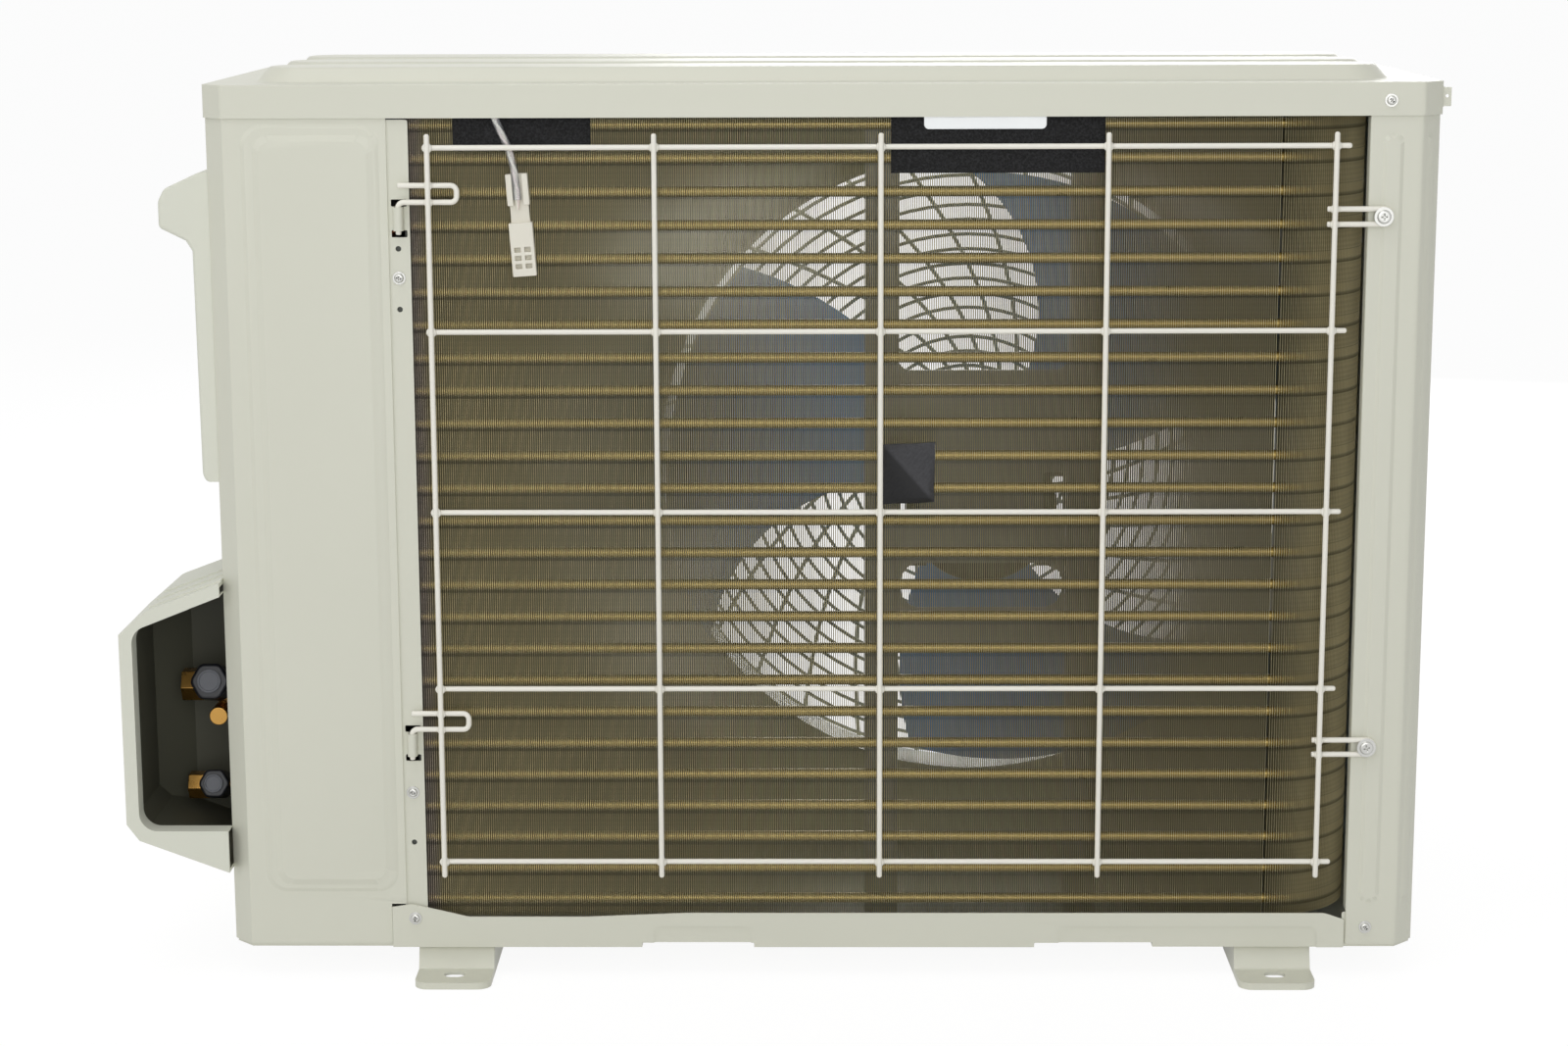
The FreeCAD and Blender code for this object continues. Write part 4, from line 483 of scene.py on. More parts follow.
def free_copy(node_name):
    """A copy of a node whose triangles are merged into whole faces."""
    piece = copy_of(frame["nodes"][node_name], node_name + "_shape", Matrix())
    edit_all(piece)
    bpy.ops.mesh.remove_doubles(threshold=weld_distance)
    bpy.ops.mesh.dissolve_limited(angle_limit=math.radians(0.2))
    object_mode()
    return piece


def box_of(points):
    """The lowest and highest corner of some points."""
    low = Vector([min(point[axis] for point in points) for axis in range(3)])
    high = Vector([max(point[axis] for point in points) for axis in range(3)])
    return low, high


def groups_of(items, neighbours):
    """Items in lists of ones that reach each other, always in the same order."""
    groups = []
    waiting = dict.fromkeys(items)
    while waiting:
        group = [waiting.popitem()[0]]
        for item in group:
            for other in neighbours(item):
                if other in waiting:
                    del waiting[other]
                    group.append(other)
        groups.append(group)
    return groups


def solids_of(node_name):
    """The points of each separate solid inside a node, one list for each."""
    shape = bmesh.new()
    shape.from_mesh(frame["nodes"][node_name].data)
    bmesh.ops.remove_doubles(shape, verts=shape.verts, dist=weld_distance)
    groups = groups_of(shape.verts, lambda vert: [edge.other_vert(vert) for edge in vert.link_edges])
    solids = [[vert.co.copy() for vert in group] for group in groups]
    shape.free()
    return solids


def body_of_node(node_name):
    """The body that a node rides on."""
    return frame["nodes"][node_name]["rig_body"]


def keep(piece, material, node_name, stands_for=True):
    """Give a finished piece its finish, its body and its slot, and let it stand for its node."""
    piece.data.materials.clear()
    piece.data.materials.append(material)
    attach(piece, body_of_node(node_name))
    if stands_for:
        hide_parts(node_name)
    return piece


def eased(node_name, material, edge=0.5, rounds=2, angle=32.0, shade=40.0):
    """A merged copy of a node with its sharp edges eased, which stands for the node."""
    piece = ease(free_copy(node_name), edge, rounds, angle)
    return keep(smooth(piece, shade), material, node_name)


# %% [markdown]
# Sheet metal never has a knife-sharp fold. Folds are found by the angle between two faces, and the
# thin rim of the sheet, whose faces are only one sheet wide, is left out. Each fold is marked with
# its kind on the clean copy, because later cuts and bevels change the faces beside it.

# %% Mark the folds
outer_fold, inner_fold, pressed_fold = 1, 2, 3
flat_turn = 0.3
least_turn = 12
pressed_turn = 75
rim_turn = 100


def fold_turn(edge):
    """How many degrees two faces turn over an edge, or zero on an open edge."""
    if len(edge.link_faces) != 2:
        return 0.0
    return math.degrees(edge.calc_face_angle(0.0))


def flat_neighbours(face):
    """The faces that lie in one plane with a face and touch it."""
    flat = [edge for edge in face.edges if len(edge.link_faces) == 2 and fold_turn(edge) < flat_turn]
    return [other for edge in flat for other in edge.link_faces]


def flat_regions(shape):
    """Faces in one plane that share flat edges, as lists."""
    return groups_of(shape.faces, flat_neighbours)


def region_width(loop, normal, outline):
    """How far a flat region reaches inwards from the middle of one edge of its outline."""
    along = (loop.link_loop_next.vert.co - loop.vert.co).normalized()
    inward = normal.cross(along)
    start = (loop.vert.co + loop.link_loop_next.vert.co) / 2
    width = 1.0
    for edge in outline:
        first, second = (vert.co - start for vert in edge.verts)
        sides = (first.dot(along), second.dot(along))
        if edge is not loop.edge and (sides[0] > 0) != (sides[1] > 0):
            share = sides[0] / (sides[0] - sides[1])
            depth = first.lerp(second, share).dot(inward)
            if depth > mm(0.01):
                width = min(width, depth)
    return width


def mark_folds(shape, least_width=2.5):
    """Give each fold its kind in an edge layer, and return the layer."""
    kinds = shape.edges.layers.int.new("fold_kind")
    widths = {}
    for region in flat_regions(shape):
        normal = region[0].normal.copy()
        loops = [loop for face in region for loop in face.loops if fold_turn(loop.edge) >= flat_turn]
        outline = [loop.edge for loop in loops]
        for loop in loops:
            if fold_turn(loop.edge) >= least_turn:
                width = region_width(loop, normal, outline)
                widths[loop.edge] = min(width, widths.get(loop.edge, 1.0))
    for edge, width in widths.items():
        turn = fold_turn(edge)
        if turn > rim_turn or width < mm(least_width):
            continue
        if turn < pressed_turn:
            edge[kinds] = pressed_fold
        else:
            edge[kinds] = outer_fold if edge.is_convex else inner_fold
    return kinds


# %% [markdown]
# A merged face that has a hole keeps a few flat edges that join the hole to its outline. Where such
# an edge runs into the end of a fold, a bevel slides along it and the face folds over. So each flat
# region is first cut along lines just inside its long folds and through its middle, and the flat
# edges between those lines and the folds are dissolved.

# %% Clear the way for a bevel
least_fold = mm(6)
wide_region = mm(40)
off_centre = mm(0.37)
cut_snap = mm(0.02)


def cut_lines(region, kinds, distance):
    """Planes beside the long folds of a flat region and through its middle."""
    planes = {}
    points = [vert.co for face in region for vert in face.verts]
    normal = region[0].normal
    for face in region:
        for loop in face.loops:
            if not loop.edge[kinds] or loop.edge.calc_length() < least_fold:
                continue
            along = (loop.link_loop_next.vert.co - loop.vert.co).normalized()
            inward = normal.cross(along)
            place = loop.vert.co.dot(inward) + distance
            reach = max(point.dot(inward) for point in points) - place
            if reach > distance:
                key = (*(round(v, 2) for v in inward), round(place, 4))
                planes[key] = (inward * place, inward)
    low, high = box_of(points)
    for axis in range(3):
        if abs(normal[axis]) < 0.5 and high[axis] - low[axis] > wide_region:
            inward = Vector((0.0, 0.0, 0.0))
            inward[axis] = 1.0
            inward = (inward - normal * inward.dot(normal)).normalized()
            middle = (low + high) / 2 + Vector((off_centre, off_centre, off_centre))
            planes[("middle", axis)] = (middle, inward)
    return list(planes.values())


def clear_folds(shape, kinds, distance=3.2):
    """Cut the flat regions of a piece, then dissolve the flat edges that end on a fold."""
    spare = []
    for region in flat_regions(shape):
        if len(region) == 1:
            continue
        planes = cut_lines(region, kinds, mm(distance))
        edges = dict.fromkeys(edge for face in region for edge in face.edges)
        verts = dict.fromkeys(vert for face in region for vert in face.verts)
        geometry = [*region, *edges, *verts]
        for place, inward in planes:
            cut = bmesh.ops.bisect_plane(shape, geom=geometry, dist=cut_snap, plane_co=place,
                                         plane_no=inward)
            geometry = [part for part in cut["geom"] if part.is_valid]
        for edge in [part for part in geometry if isinstance(part, bmesh.types.BMEdge)]:
            if len(edge.link_faces) != 2 or fold_turn(edge) > flat_turn:
                continue
            on_cut = any(max(abs((vert.co - place).dot(inward)) for vert in edge.verts) < mm(0.03)
                         for place, inward in planes)
            at_fold = any(other[kinds] for vert in edge.verts for other in vert.link_edges)
            if at_fold and not on_cut:
                spare.append(edge)
    bmesh.ops.dissolve_edges(shape, edges=spare, use_verts=False, use_face_split=False)
    shape.normal_update()
    return len(spare)


# %% [markdown]
# A bevel that may not overlap takes one width for all its edges, the widest that fits everywhere.
# So each chain of folds that touch is bevelled on its own, and one tight corner doesn't sharpen the
# whole sheet.

# %% Sheets with round folds
def touching_edges(edge):
    """The edges that meet an edge."""
    return [other for vert in edge.verts for other in vert.link_edges]


def round_folds(shape, kinds, kind, offset, rounds):
    """Bevel each chain of one kind as wide as it can be, up to the offset."""
    chains = groups_of([edge for edge in shape.edges if edge[kinds] == kind], touching_edges)
    for chain in chains:
        for edge in chain:
            edge[kinds] = 0
        made = bmesh.ops.bevel(shape, geom=chain, offset=mm(offset), offset_type="OFFSET", segments=rounds,
                               profile=0.5, affect="EDGES", clamp_overlap=True, loop_slide=True)
        for edge in made["edges"]:
            if edge.is_valid:
                edge[kinds] = 0
    return len(chains)


def soft_sheet(node_name, material, fold=1.6, press=1.2, sheet=1.0):
    """A pressed sheet with round folds, and with soft edges on its raised panels."""
    piece = free_copy(node_name)
    shape = bmesh.new()
    shape.from_mesh(piece.data)
    kinds = mark_folds(shape)
    spare = clear_folds(shape, kinds)
    outer = round_folds(shape, kinds, outer_fold, fold, 3)
    inner = round_folds(shape, kinds, inner_fold, max(fold - sheet, 0.3), 2)
    pressed = round_folds(shape, kinds, pressed_fold, press, 2)
    shape.to_mesh(piece.data)
    shape.free()
    print(node_name, "chains", outer, inner, pressed, "dissolved", spare, "faces", len(piece.data.polygons))
    return keep(smooth(piece), material, node_name)


# %% [markdown]
# ## Cabinet
#
# The cabinet is made of five pressed sheets: a cover with long stiffening beads, two side panels, a
# front with the round outlet, and a base pan. All are bent from sheet a millimetre thick, so their
# folds are rounded by a millimetre or two, and light runs along them as a soft line.

# %% Cabinet sheets
for sheet_name in ("top_cover", "coil_side_panel", "front_panel", "base_pan"):
    soft_sheet(sheet_name, cabinet_paint)
soft_sheet("valve_side_panel", cabinet_paint, press=0.45)
for foot_name in ("foot_valve_side", "foot_coil_side"):
    soft_sheet(foot_name, cabinet_paint, fold=2.2, sheet=1.6)


# %% [markdown]
# ## Coil
#
# The heat exchanger is the face of this side: hundreds of thin gold-coated fins, set upright on
# edge, with copper tubes running through them. A block with stripes painted on would look dead,
# because the real one lets light and the fan show through between its fins. So every fin is made,
# as one thin rippled strip that array modifiers repeat along the back and along the side, and that
# turned copies carry round the corner. The fins lean a few degrees, so the view through them is
# clearest right of the middle.

# %% Coil sizes
fin_depth = mm(13.3)
fin_pitch = mm(1.4)
fin_sheet = mm(0.12)
fin_ripple = mm(0.32)
fin_lean = mm(0.55)
ripple_steps = 6
coil_bend = mm(60.0)
tube_rows = 25
collar_radius = mm(3.4)

coil_low, coil_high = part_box("coil_fins")
tube_pitch = (coil_high.z - coil_low.z) / tube_rows
bend_centre = Vector((coil_high.x - coil_bend, coil_low.y + coil_bend, 0.0))
middle_radius = coil_bend - fin_depth / 2
print("coil", round(coil_low.x, 4), round(coil_high.x, 4), "tube pitch", round(tube_pitch * 1000, 2), "mm")


# %% One fin
def make_fin(name):
    """A thin upright strip with a ripple across its depth, at the left end of the coil."""
    middle = Vector((coil_low.x + fin_pitch / 2, coil_low.y + fin_depth / 2,
                     (coil_low.z + coil_high.z) / 2))
    fin = add_piece(bpy.ops.mesh.primitive_cube_add, name,
                    (fin_sheet, fin_depth, coil_high.z - coil_low.z), size=1.0, location=middle)
    pick(fin, "EDGE", lambda edge: abs(edge.verts[1].co.y - edge.verts[0].co.y) > fin_depth / 2)
    bpy.ops.mesh.subdivide(number_cuts=ripple_steps - 1)
    shape = bmesh.from_edit_mesh(fin.data)
    depth = shape.verts.layers.float.new("fin_depth")
    for vert in shape.verts:
        share = (vert.co.y - coil_low.y) / fin_depth
        vert[depth] = share
        vert.co.x += fin_ripple * math.sin(share * 2 * math.pi) + fin_lean * (share - 0.5)
    bmesh.update_edit_mesh(fin.data)
    object_mode()
    return fin


def repeat(piece, count, offset):
    """Copies in a row, a fixed step apart."""
    return modify(piece, "ARRAY", count=count, use_relative_offset=False, use_constant_offset=True,
                  constant_offset_displace=offset)


# %% Fins along the back
back_length = bend_centre.x - coil_low.x
back_count = int(back_length / fin_pitch)
back_fins = repeat(make_fin("coil_fins_back"), back_count, (fin_pitch, 0.0, 0.0))
print("back fins", back_count)

# %% [markdown]
# At the corner the fins fan out around the bend. One fin is moved to the start of the bend, then
# turned about the bend's centre once for each copy. The side row is the same fin after a quarter
# turn.

# %% Fins round the corner and along the side
corner_count = int(middle_radius * math.pi / 2 / fin_pitch)
corner_step = math.pi / 2 / corner_count
first = make_fin("fin_at_bend")
select_only(first)
bpy.ops.transform.translate(value=(bend_centre.x - coil_low.x - fin_pitch / 2, 0.0, 0.0))
bake_place(first)
corner = [copy_of(first, "corner_fin", turned_about(bend_centre, corner_step * (index + 0.5), "Z"))
          for index in range(corner_count)]
side_fin = copy_of(first, "coil_fins_side", turned_about(bend_centre, math.pi / 2, "Z"))
side_length = coil_high.y - bend_centre.y
side_count = int(side_length / fin_pitch)
side_fins = repeat(side_fin, side_count, (0.0, fin_pitch, 0.0))
side_fins.data.transform(Matrix.Translation((0.0, fin_pitch / 2, 0.0)))
corner_fins = join(corner, "coil_fins_corner")
bpy.data.objects.remove(first)
print("corner fins", corner_count, "side fins", side_count)

# %% [markdown]
# The tubes run through the middle of the fins. A circle at the left end is pulled along the back,
# spun a quarter turn round the bend and pulled along the side. It is a little wider than the bare
# tube, because each fin has a collar that sits on the tube and hides the copper.

# %% Tubes in their collars
top_row_z = coil_high.z - tube_pitch / 2
tubes = add_piece(bpy.ops.mesh.primitive_circle_add, "coil_tubes", vertices=14, radius=collar_radius,
                  fill_type="NOTHING", location=(coil_low.x, coil_low.y + fin_depth / 2, top_row_z),
                  rotation=(0.0, math.pi / 2, 0.0))
edit_all(tubes)
bpy.ops.mesh.extrude_region_move(TRANSFORM_OT_translate={"value": (back_length, 0.0, 0.0)})
bpy.ops.mesh.spin(steps=12, angle=-math.pi / 2, center=bend_centre, axis=(0.0, 0.0, 1.0))
bpy.ops.mesh.extrude_region_move(TRANSFORM_OT_translate={"value": (0.0, side_length, 0.0)})
bpy.ops.mesh.select_all(action="SELECT")
bpy.ops.mesh.remove_doubles(threshold=mm(0.01))
bpy.ops.mesh.fill_holes(sides=0)
bpy.ops.mesh.normals_make_consistent(inside=False)
object_mode()
repeat(tubes, tube_rows, (0.0, 0.0, -tube_pitch))
smooth(tubes, 50.0)
print("tube mesh faces", len(tubes.data.polygons), "box", [round(v * 1000) for v in tubes.dimensions])

# %% [markdown]
# The coating is gold. Its colour also carries painted light and shade: painted light on the outer
# edge of each fin and painted shade, nearly brown, in the depth of the gaps. Its tone repeats with
# the tube rows: a painted shadow lies along the lower side of each tube, and between two tubes a few
# soft stripes of painted shade stand for the rows of slits. A ramp over the place within one row
# holds that profile. The first centimetre at the left end is duller, where the fins are dusty. Each
# fin also carries its depth as an attribute, which sets the painted shade on its sides and the
# painted light on its outer edge.

# %% Coil finishes
# Painted shade: the dips of this profile are a painted shadow under each tube and stripes of painted shade
# between the tubes.
row_shade_profile = ((0.0, 0.97), (0.08, 0.88), (0.16, 0.98), (0.24, 0.89), (0.285, 0.96), (0.315, 0.40),
               (0.36, 0.55), (0.45, 1.0), (0.66, 1.0), (0.685, 0.7), (0.71, 0.98), (0.77, 0.88),
               (0.85, 0.98), (0.93, 0.89), (1.0, 0.97))
dust_reach = mm(12.0)
dust_fade = 3.0
# Painted shade in the depth of the gaps and painted light on the fins' outer edges.
painted_depth_shade = 0.58
painted_edge_light = 0.75
edge_light_fade = 8.0
rows_above = 100.5
dusty_tone = paint(190, 178, 164)


def share_of(tree, value, start, length):
    """How far a value lies along a stretch, as nodes."""
    return math_node(tree, "DIVIDE", math_node(tree, "SUBTRACT", value, start), length)


def object_place(tree):
    """The three coordinates of a point in the object's own space."""
    return add_node(tree, "SeparateXYZ", {0: add_node(tree, "TexCoord")["Object"]})


def painted_row_shade(tree, height):
    """The painted shade within one tube row, from a ramp: a painted shadow under the tube and painted
    stripes between. The count of rows never falls below zero.
    """
    rows = share_of(tree, height, top_row_z, tube_pitch)
    ramp = tree.nodes.new("ShaderNodeValToRGB")
    ramp.color_ramp.interpolation = "EASE"
    points = ramp.color_ramp.elements
    points[0].position, points[1].position = row_shade_profile[0][0], row_shade_profile[-1][0]
    for position, level in row_shade_profile[1:-1]:
        points.new(position)
    for point, (position, level) in zip(points, row_shade_profile):
        point.color = (level, level, level, 1.0)
    feed(tree, ramp.inputs["Fac"], math_node(tree, "FRACT", math_node(tree, "ADD", rows, rows_above)))
    return ramp.outputs["Color"]


def fin_tone_with_painted_shade(tree, tone):
    """The coating's colour, dusty at the left end, with a painted shadow in rows, painted shade in the
    depth and painted light on the outer edge.
    """
    place = object_place(tree)
    from_left = math_node(tree, "MAXIMUM", share_of(tree, place["X"], coil_low.x, dust_reach), 0.0)
    clean = math_node(tree, "MINIMUM", math_node(tree, "POWER", from_left, dust_fade), 1.0)
    dusted = mixed(tree, clean, dusty_tone, tone)
    toned = add_node(tree, "VectorMath", {0: dusted, 1: painted_row_shade(tree, place["Z"])}, operation="MULTIPLY")
    # Painted light near the outer edge of each fin, and painted shade deeper in the gap.
    depth = add_node(tree, "Attribute", attribute_name="fin_depth")["Fac"]
    nearness = math_node(tree, "POWER", math_node(tree, "SUBTRACT", 1.0, depth), edge_light_fade)
    level = math_node(tree, "ADD", math_node(tree, "MULTIPLY", nearness, painted_edge_light), painted_depth_shade)
    return scaled(tree, toned[0], level)


# The fin coating carries painted shade in rows and in the depth, and painted light on the edges.
fin_coat = make_finish("fin coating with painted shade", paint(202, 191, 150), 0.4, metallic=0.4, drift=0.10,
                       drift_scale=30.0, rough_drift=0.15, grain_scale=500.0, grain_height=0.02)
recolour(fin_coat, fin_tone_with_painted_shade)
collar_coat = make_finish("collar coating", paint(150, 130, 74), 0.3, metallic=0.6, drift=0.12,
                          drift_scale=60.0, rough_drift=0.15)
for fins in (back_fins, corner_fins, side_fins):
    keep(fins, fin_coat, "coil_fins")
keep(tubes, collar_coat, "coil_fins")

# %% [markdown]
# ## Wire guard
#
# The guard is welded from straight wires three and a half millimetres thick and then dipped in a
# pale plastic coating, so each cut end is round and each crossing has a small web of coating in its
# corners. A wire starts as a cylinder whose two rims are bevelled until the ends are domes.

# %% Straight wires with round ends
wire_sides = 16
dome_share = 0.86


def round_wire(start, end, radius):
    """A straight wire between two points, with domed ends."""
    along = end - start
    wire = add_piece(bpy.ops.mesh.primitive_cylinder_add, "wire", vertices=wire_sides, radius=radius,
                     depth=along.length, location=(start + end) / 2,
                     rotation=along.to_track_quat("Z", "Y").to_euler())
    pick(wire, "FACE", lambda face: len(face.verts) == wire_sides)
    bpy.ops.mesh.region_to_loop()
    bpy.ops.mesh.bevel(offset=radius * dome_share, segments=4, affect="EDGES", clamp_overlap=False)
    object_mode()
    return wire


def wires_from(node_name, name, axis):
    """All wires of a node that run along one axis, as one piece."""
    wires = []
    for points in solids_of(node_name):
        low, high = box_of(points)
        middle = (low + high) / 2
        start, end = middle.copy(), middle.copy()
        start[axis], end[axis] = low[axis], high[axis]
        wires.append(round_wire(start, end, (high.y - low.y) / 2))
    return join(wires, name)


uprights = wires_from("guard_uprights", "guard_upright_wires", 2)
cross_wires = wires_from("guard_cross_wires", "guard_cross_wires_round", 0)
upright_places = sorted(sum(box_of(points), Vector()).x / 2 for points in solids_of("guard_uprights"))
cross_places = sorted(sum(box_of(points), Vector()).z / 2 for points in solids_of("guard_cross_wires"))
print("uprights", [round(x * 1000, 1) for x in upright_places])
print("cross wires", [round(z * 1000, 1) for z in cross_places])

# %% [markdown]
# A web of coating is a small lozenge that lies over a crossing. A cube turned by 45 degrees reaches
# into the four corners, and two levels of subdivision round it off, so it blends into both wires.

# %% Webs of coating at the welds
weld_reach = mm(5.6)
weld_depth = mm(5.0)
hook_reach = mm(14)
guard_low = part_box("guard_uprights")[0]
cross_low, cross_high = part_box("guard_cross_wires")
weld_y = (guard_low.y + cross_high.y) / 2


def make_weld(place, reach=weld_reach):
    """One lozenge of coating over a crossing."""
    wide = reach * math.sqrt(2)
    weld = add_piece(bpy.ops.mesh.primitive_cube_add, "weld", (wide, weld_depth, wide), size=1.0,
                     location=place, rotation=(0.0, math.radians(45), 0.0))
    return modify(weld, "SUBSURF", levels=2, render_levels=2)


welds = [make_weld(Vector((x, weld_y, z))) for x in upright_places for z in cross_places]
cross_radius = (cross_high.y - cross_low.y) / 2
for node_name, upright_x in (("guard_hinge_hooks", upright_places[0]),
                             ("guard_screw_loops", upright_places[-1])):
    for points in solids_of(node_name):
        near = [point.z for point in points if abs(point.x - upright_x) < hook_reach]
        if near:
            for wire_z in (min(near) + cross_radius, max(near) - cross_radius):
                welds.append(make_weld(Vector((upright_x, weld_y, wire_z)), weld_reach * 0.9))
weld_webs = join(welds, "guard_weld_webs")
print("welds", len(welds))

# %% [markdown]
# The hinge hooks and the screw loops are bent wires. Their shape in the model is right, so a merged
# copy only gets a bevel on its cut ends and smooth shading.

# %% Hand the guard over
for wires, node_name in ((uprights, "guard_uprights"), (cross_wires, "guard_cross_wires")):
    keep(smooth(wires, 60.0), wire_coating, node_name)
keep(smooth(weld_webs, 80.0), wire_coating, "guard_uprights", stands_for=False)
for node_name in ("guard_hinge_hooks", "guard_screw_loops"):
    eased(node_name, wire_coating, 0.8, 3)

# %% [markdown]
# ## Screws
#
# Every screw has a pan head on a wide flange and a cross recess. One head is turned from a
# cylinder: the top face is inset and pulled up, its rim is bevelled into a dome, and two crossed
# wedges are taken out of it. Copies are then turned to each screw's place and direction, which are
# read from the screws of the model.

# %% One pan-headed screw
flange_share = 0.32
shoulder_share = 0.30
crown_share = 0.85
recess_shares = (0.92, 0.20, 1.3)
recess_taper = (0.45, 0.6)
rim_share = 0.06


def make_screw(radius, height, shank_radius, shank_length):
    """A screw that stands on the origin, with its head above and its shank below."""
    flange = height * flange_share
    crown = height - flange
    head = add_piece(bpy.ops.mesh.primitive_cylinder_add, "screw", vertices=32, radius=radius,
                     depth=flange, location=(0.0, 0.0, flange / 2))
    pick(head, "FACE", lambda face: face.normal.z > 0.9)
    bpy.ops.mesh.inset(thickness=radius * shoulder_share, depth=0.0)
    bpy.ops.mesh.extrude_region_move(TRANSFORM_OT_translate={"value": (0.0, 0.0, crown)})
    bpy.ops.mesh.region_to_loop()
    bpy.ops.mesh.bevel(offset=crown * crown_share, segments=4, affect="EDGES", clamp_overlap=False)
    pick(head, "FACE", lambda face: face.normal.z < -0.9)
    bpy.ops.mesh.inset(thickness=radius - shank_radius, depth=0.0)
    bpy.ops.mesh.extrude_region_move(TRANSFORM_OT_translate={"value": (0.0, 0.0, -shank_length)})
    bpy.ops.transform.resize(value=(0.7, 0.7, 1.0))
    object_mode()
    for turn in (0.0, math.pi / 2):
        wedge_size = [share * side for share, side in zip(recess_shares, (radius, radius, height))]
        wedge = add_piece(bpy.ops.mesh.primitive_cube_add, "wedge", wedge_size, size=1.0,
                          location=(0.0, 0.0, height), rotation=(0.0, 0.0, turn))
        for vert in wedge.data.vertices:
            if vert.co.z < height:
                vert.co.x *= recess_taper[0]
                vert.co.y *= recess_taper[1]
        modify(head, "BOOLEAN", operation="DIFFERENCE", object=wedge)
        bpy.data.objects.remove(wedge)
    return modify(head, "BEVEL", limit_method="ANGLE", angle_limit=math.radians(60),
                  width=height * rim_share, segments=1)


def screw_place(points):
    """Where a screw of the model sits, the way its head looks, and its three sizes."""
    low, high = box_of(points)
    size = high - low
    spread = [abs(size[(axis + 1) % 3] - size[(axis + 2) % 3]) for axis in range(3)]
    axis = spread.index(min(spread))
    middle = (low + high) / 2
    radius = size[(axis + 1) % 3] / 2

    def from_axis(point):
        """How far a point lies from the screw's own axis."""
        return math.hypot(*(point[other % 3] - middle[other % 3] for other in (axis + 1, axis + 2)))

    head_points = [point[axis] for point in points if from_axis(point) > radius * 0.9]
    head_low, head_high = min(head_points), max(head_points)
    looks_up = (head_low + head_high) / 2 > middle[axis]
    seat = middle.copy()
    seat[axis] = head_low if looks_up else head_high
    look = Vector((0.0, 0.0, 0.0))
    look[axis] = 1.0 if looks_up else -1.0
    return seat, look, radius, head_high - head_low, size[axis] - (head_high - head_low)


def set_screws(node_name, name, shank_radius):
    """Copies of one screw at every screw of a node."""
    places = [screw_place(points) for points in solids_of(node_name)]
    radius, height, shank = places[0][2:]
    pattern = make_screw(radius, height, shank_radius, shank)
    copies = []
    for seat, look, *_ in places:
        spin = Matrix.Rotation(rng.uniform(0.0, math.pi / 2), 4, "Z")
        stand = Matrix.Translation(seat) @ look.to_track_quat("Z", "Y").to_matrix().to_4x4()
        copies.append(copy_of(pattern, name, stand @ spin))
    bpy.data.objects.remove(pattern)
    screws = smooth(join(copies, name))
    print(name, len(places), "faces", len(screws.data.polygons))
    return keep(screws, zinc, node_name)


shank_radius = mm(1.9)
for node_name in ("cabinet_screws", "guard_screws"):
    set_screws(node_name, node_name + "_turned", shank_radius)

# %% [markdown]
# ## Air sensor
#
# A moulded holder is clipped to the fins near the top left. It holds the end of a thin sensor, whose
# two pale wires run up under the cover in a clear sleeve. The holder's model shape is right, so it
# gets eased edges. The sleeve is a tube with a wall, so that it refracts at both faces, and the two
# wires inside twist round each other.

# %% Sensor holder, sleeve and wires
eased("sensor_holder", sensor_white, 0.45, 3)

sleeve_tint = (0.94, 0.95, 0.97, 1.0)
clear_sleeve = bpy.data.materials.new("clear sleeve")
clear_sleeve.use_nodes = True
tree = clear_sleeve.node_tree
grain = group_node(tree, grain_group, Scale=240.0)
haze = math_node(tree, "ADD", math_node(tree, "MULTIPLY", grain["Height"], 0.16), 0.02)
for label, value in (("Base Color", sleeve_tint), ("Transmission Weight", 0.9), ("IOR", 1.38),
                     ("Roughness", haze)):
    feed(tree, tree.nodes["Principled BSDF"].inputs[label], value)
wire_white = make_finish("wire insulation", paint(232, 228, 214), 0.4, drift=0.04, drift_scale=200.0)
wire_pink = make_finish("wire insulation warm", paint(226, 212, 204), 0.4, drift=0.04, drift_scale=200.0)

lead_y = coil_low.y - mm(4.8)
lead_points = [(mm(x), lead_y, mm(z)) for x, z in
               ((-238.0, 580.0), (-232.5, 562.0), (-224.5, 546.0), (-221.0, 530.0), (-219.6, 513.5))]
sleeve_radius = mm(2.5)
sleeve_wall = mm(0.35)
lead_radius = mm(0.95)


def smooth_path(name, points):
    """A path curve that starts and ends on its first and last point."""
    bpy.ops.object.select_all(action="DESELECT")
    bpy.ops.curve.primitive_nurbs_path_add(location=(0.0, 0.0, 0.0))
    path = bpy.context.object
    path.name = name
    path.data.splines.clear()
    spline = path.data.splines.new("NURBS")
    spline.points.add(len(points) - 1)
    for point, place in zip(spline.points, points):
        point.co = (*place, 1.0)
    spline.order_u = 3
    spline.use_endpoint_u = True
    path.data.resolution_u = 8
    return path


def tube_from(path, radius, sides=3):
    """The path as a mesh tube with closed ends."""
    path.data.bevel_depth = radius
    path.data.bevel_resolution = sides
    path.data.use_fill_caps = True
    select_only(path)
    bpy.ops.object.convert(target="MESH")
    tube = bpy.context.object
    edit_all(tube)
    bpy.ops.mesh.remove_doubles(threshold=mm(0.01))
    bpy.ops.mesh.normals_make_consistent(inside=False)
    object_mode()
    return tube


sleeve = tube_from(smooth_path("sensor_sleeve", lead_points), sleeve_radius, 4)
pick(sleeve, "FACE", lambda face: len(face.verts) > 4)
bpy.ops.mesh.delete(type="FACE")
object_mode()
modify(sleeve, "SOLIDIFY", thickness=sleeve_wall, offset=-1.0)
keep(smooth(sleeve, 60.0), clear_sleeve, "sensor_lead")

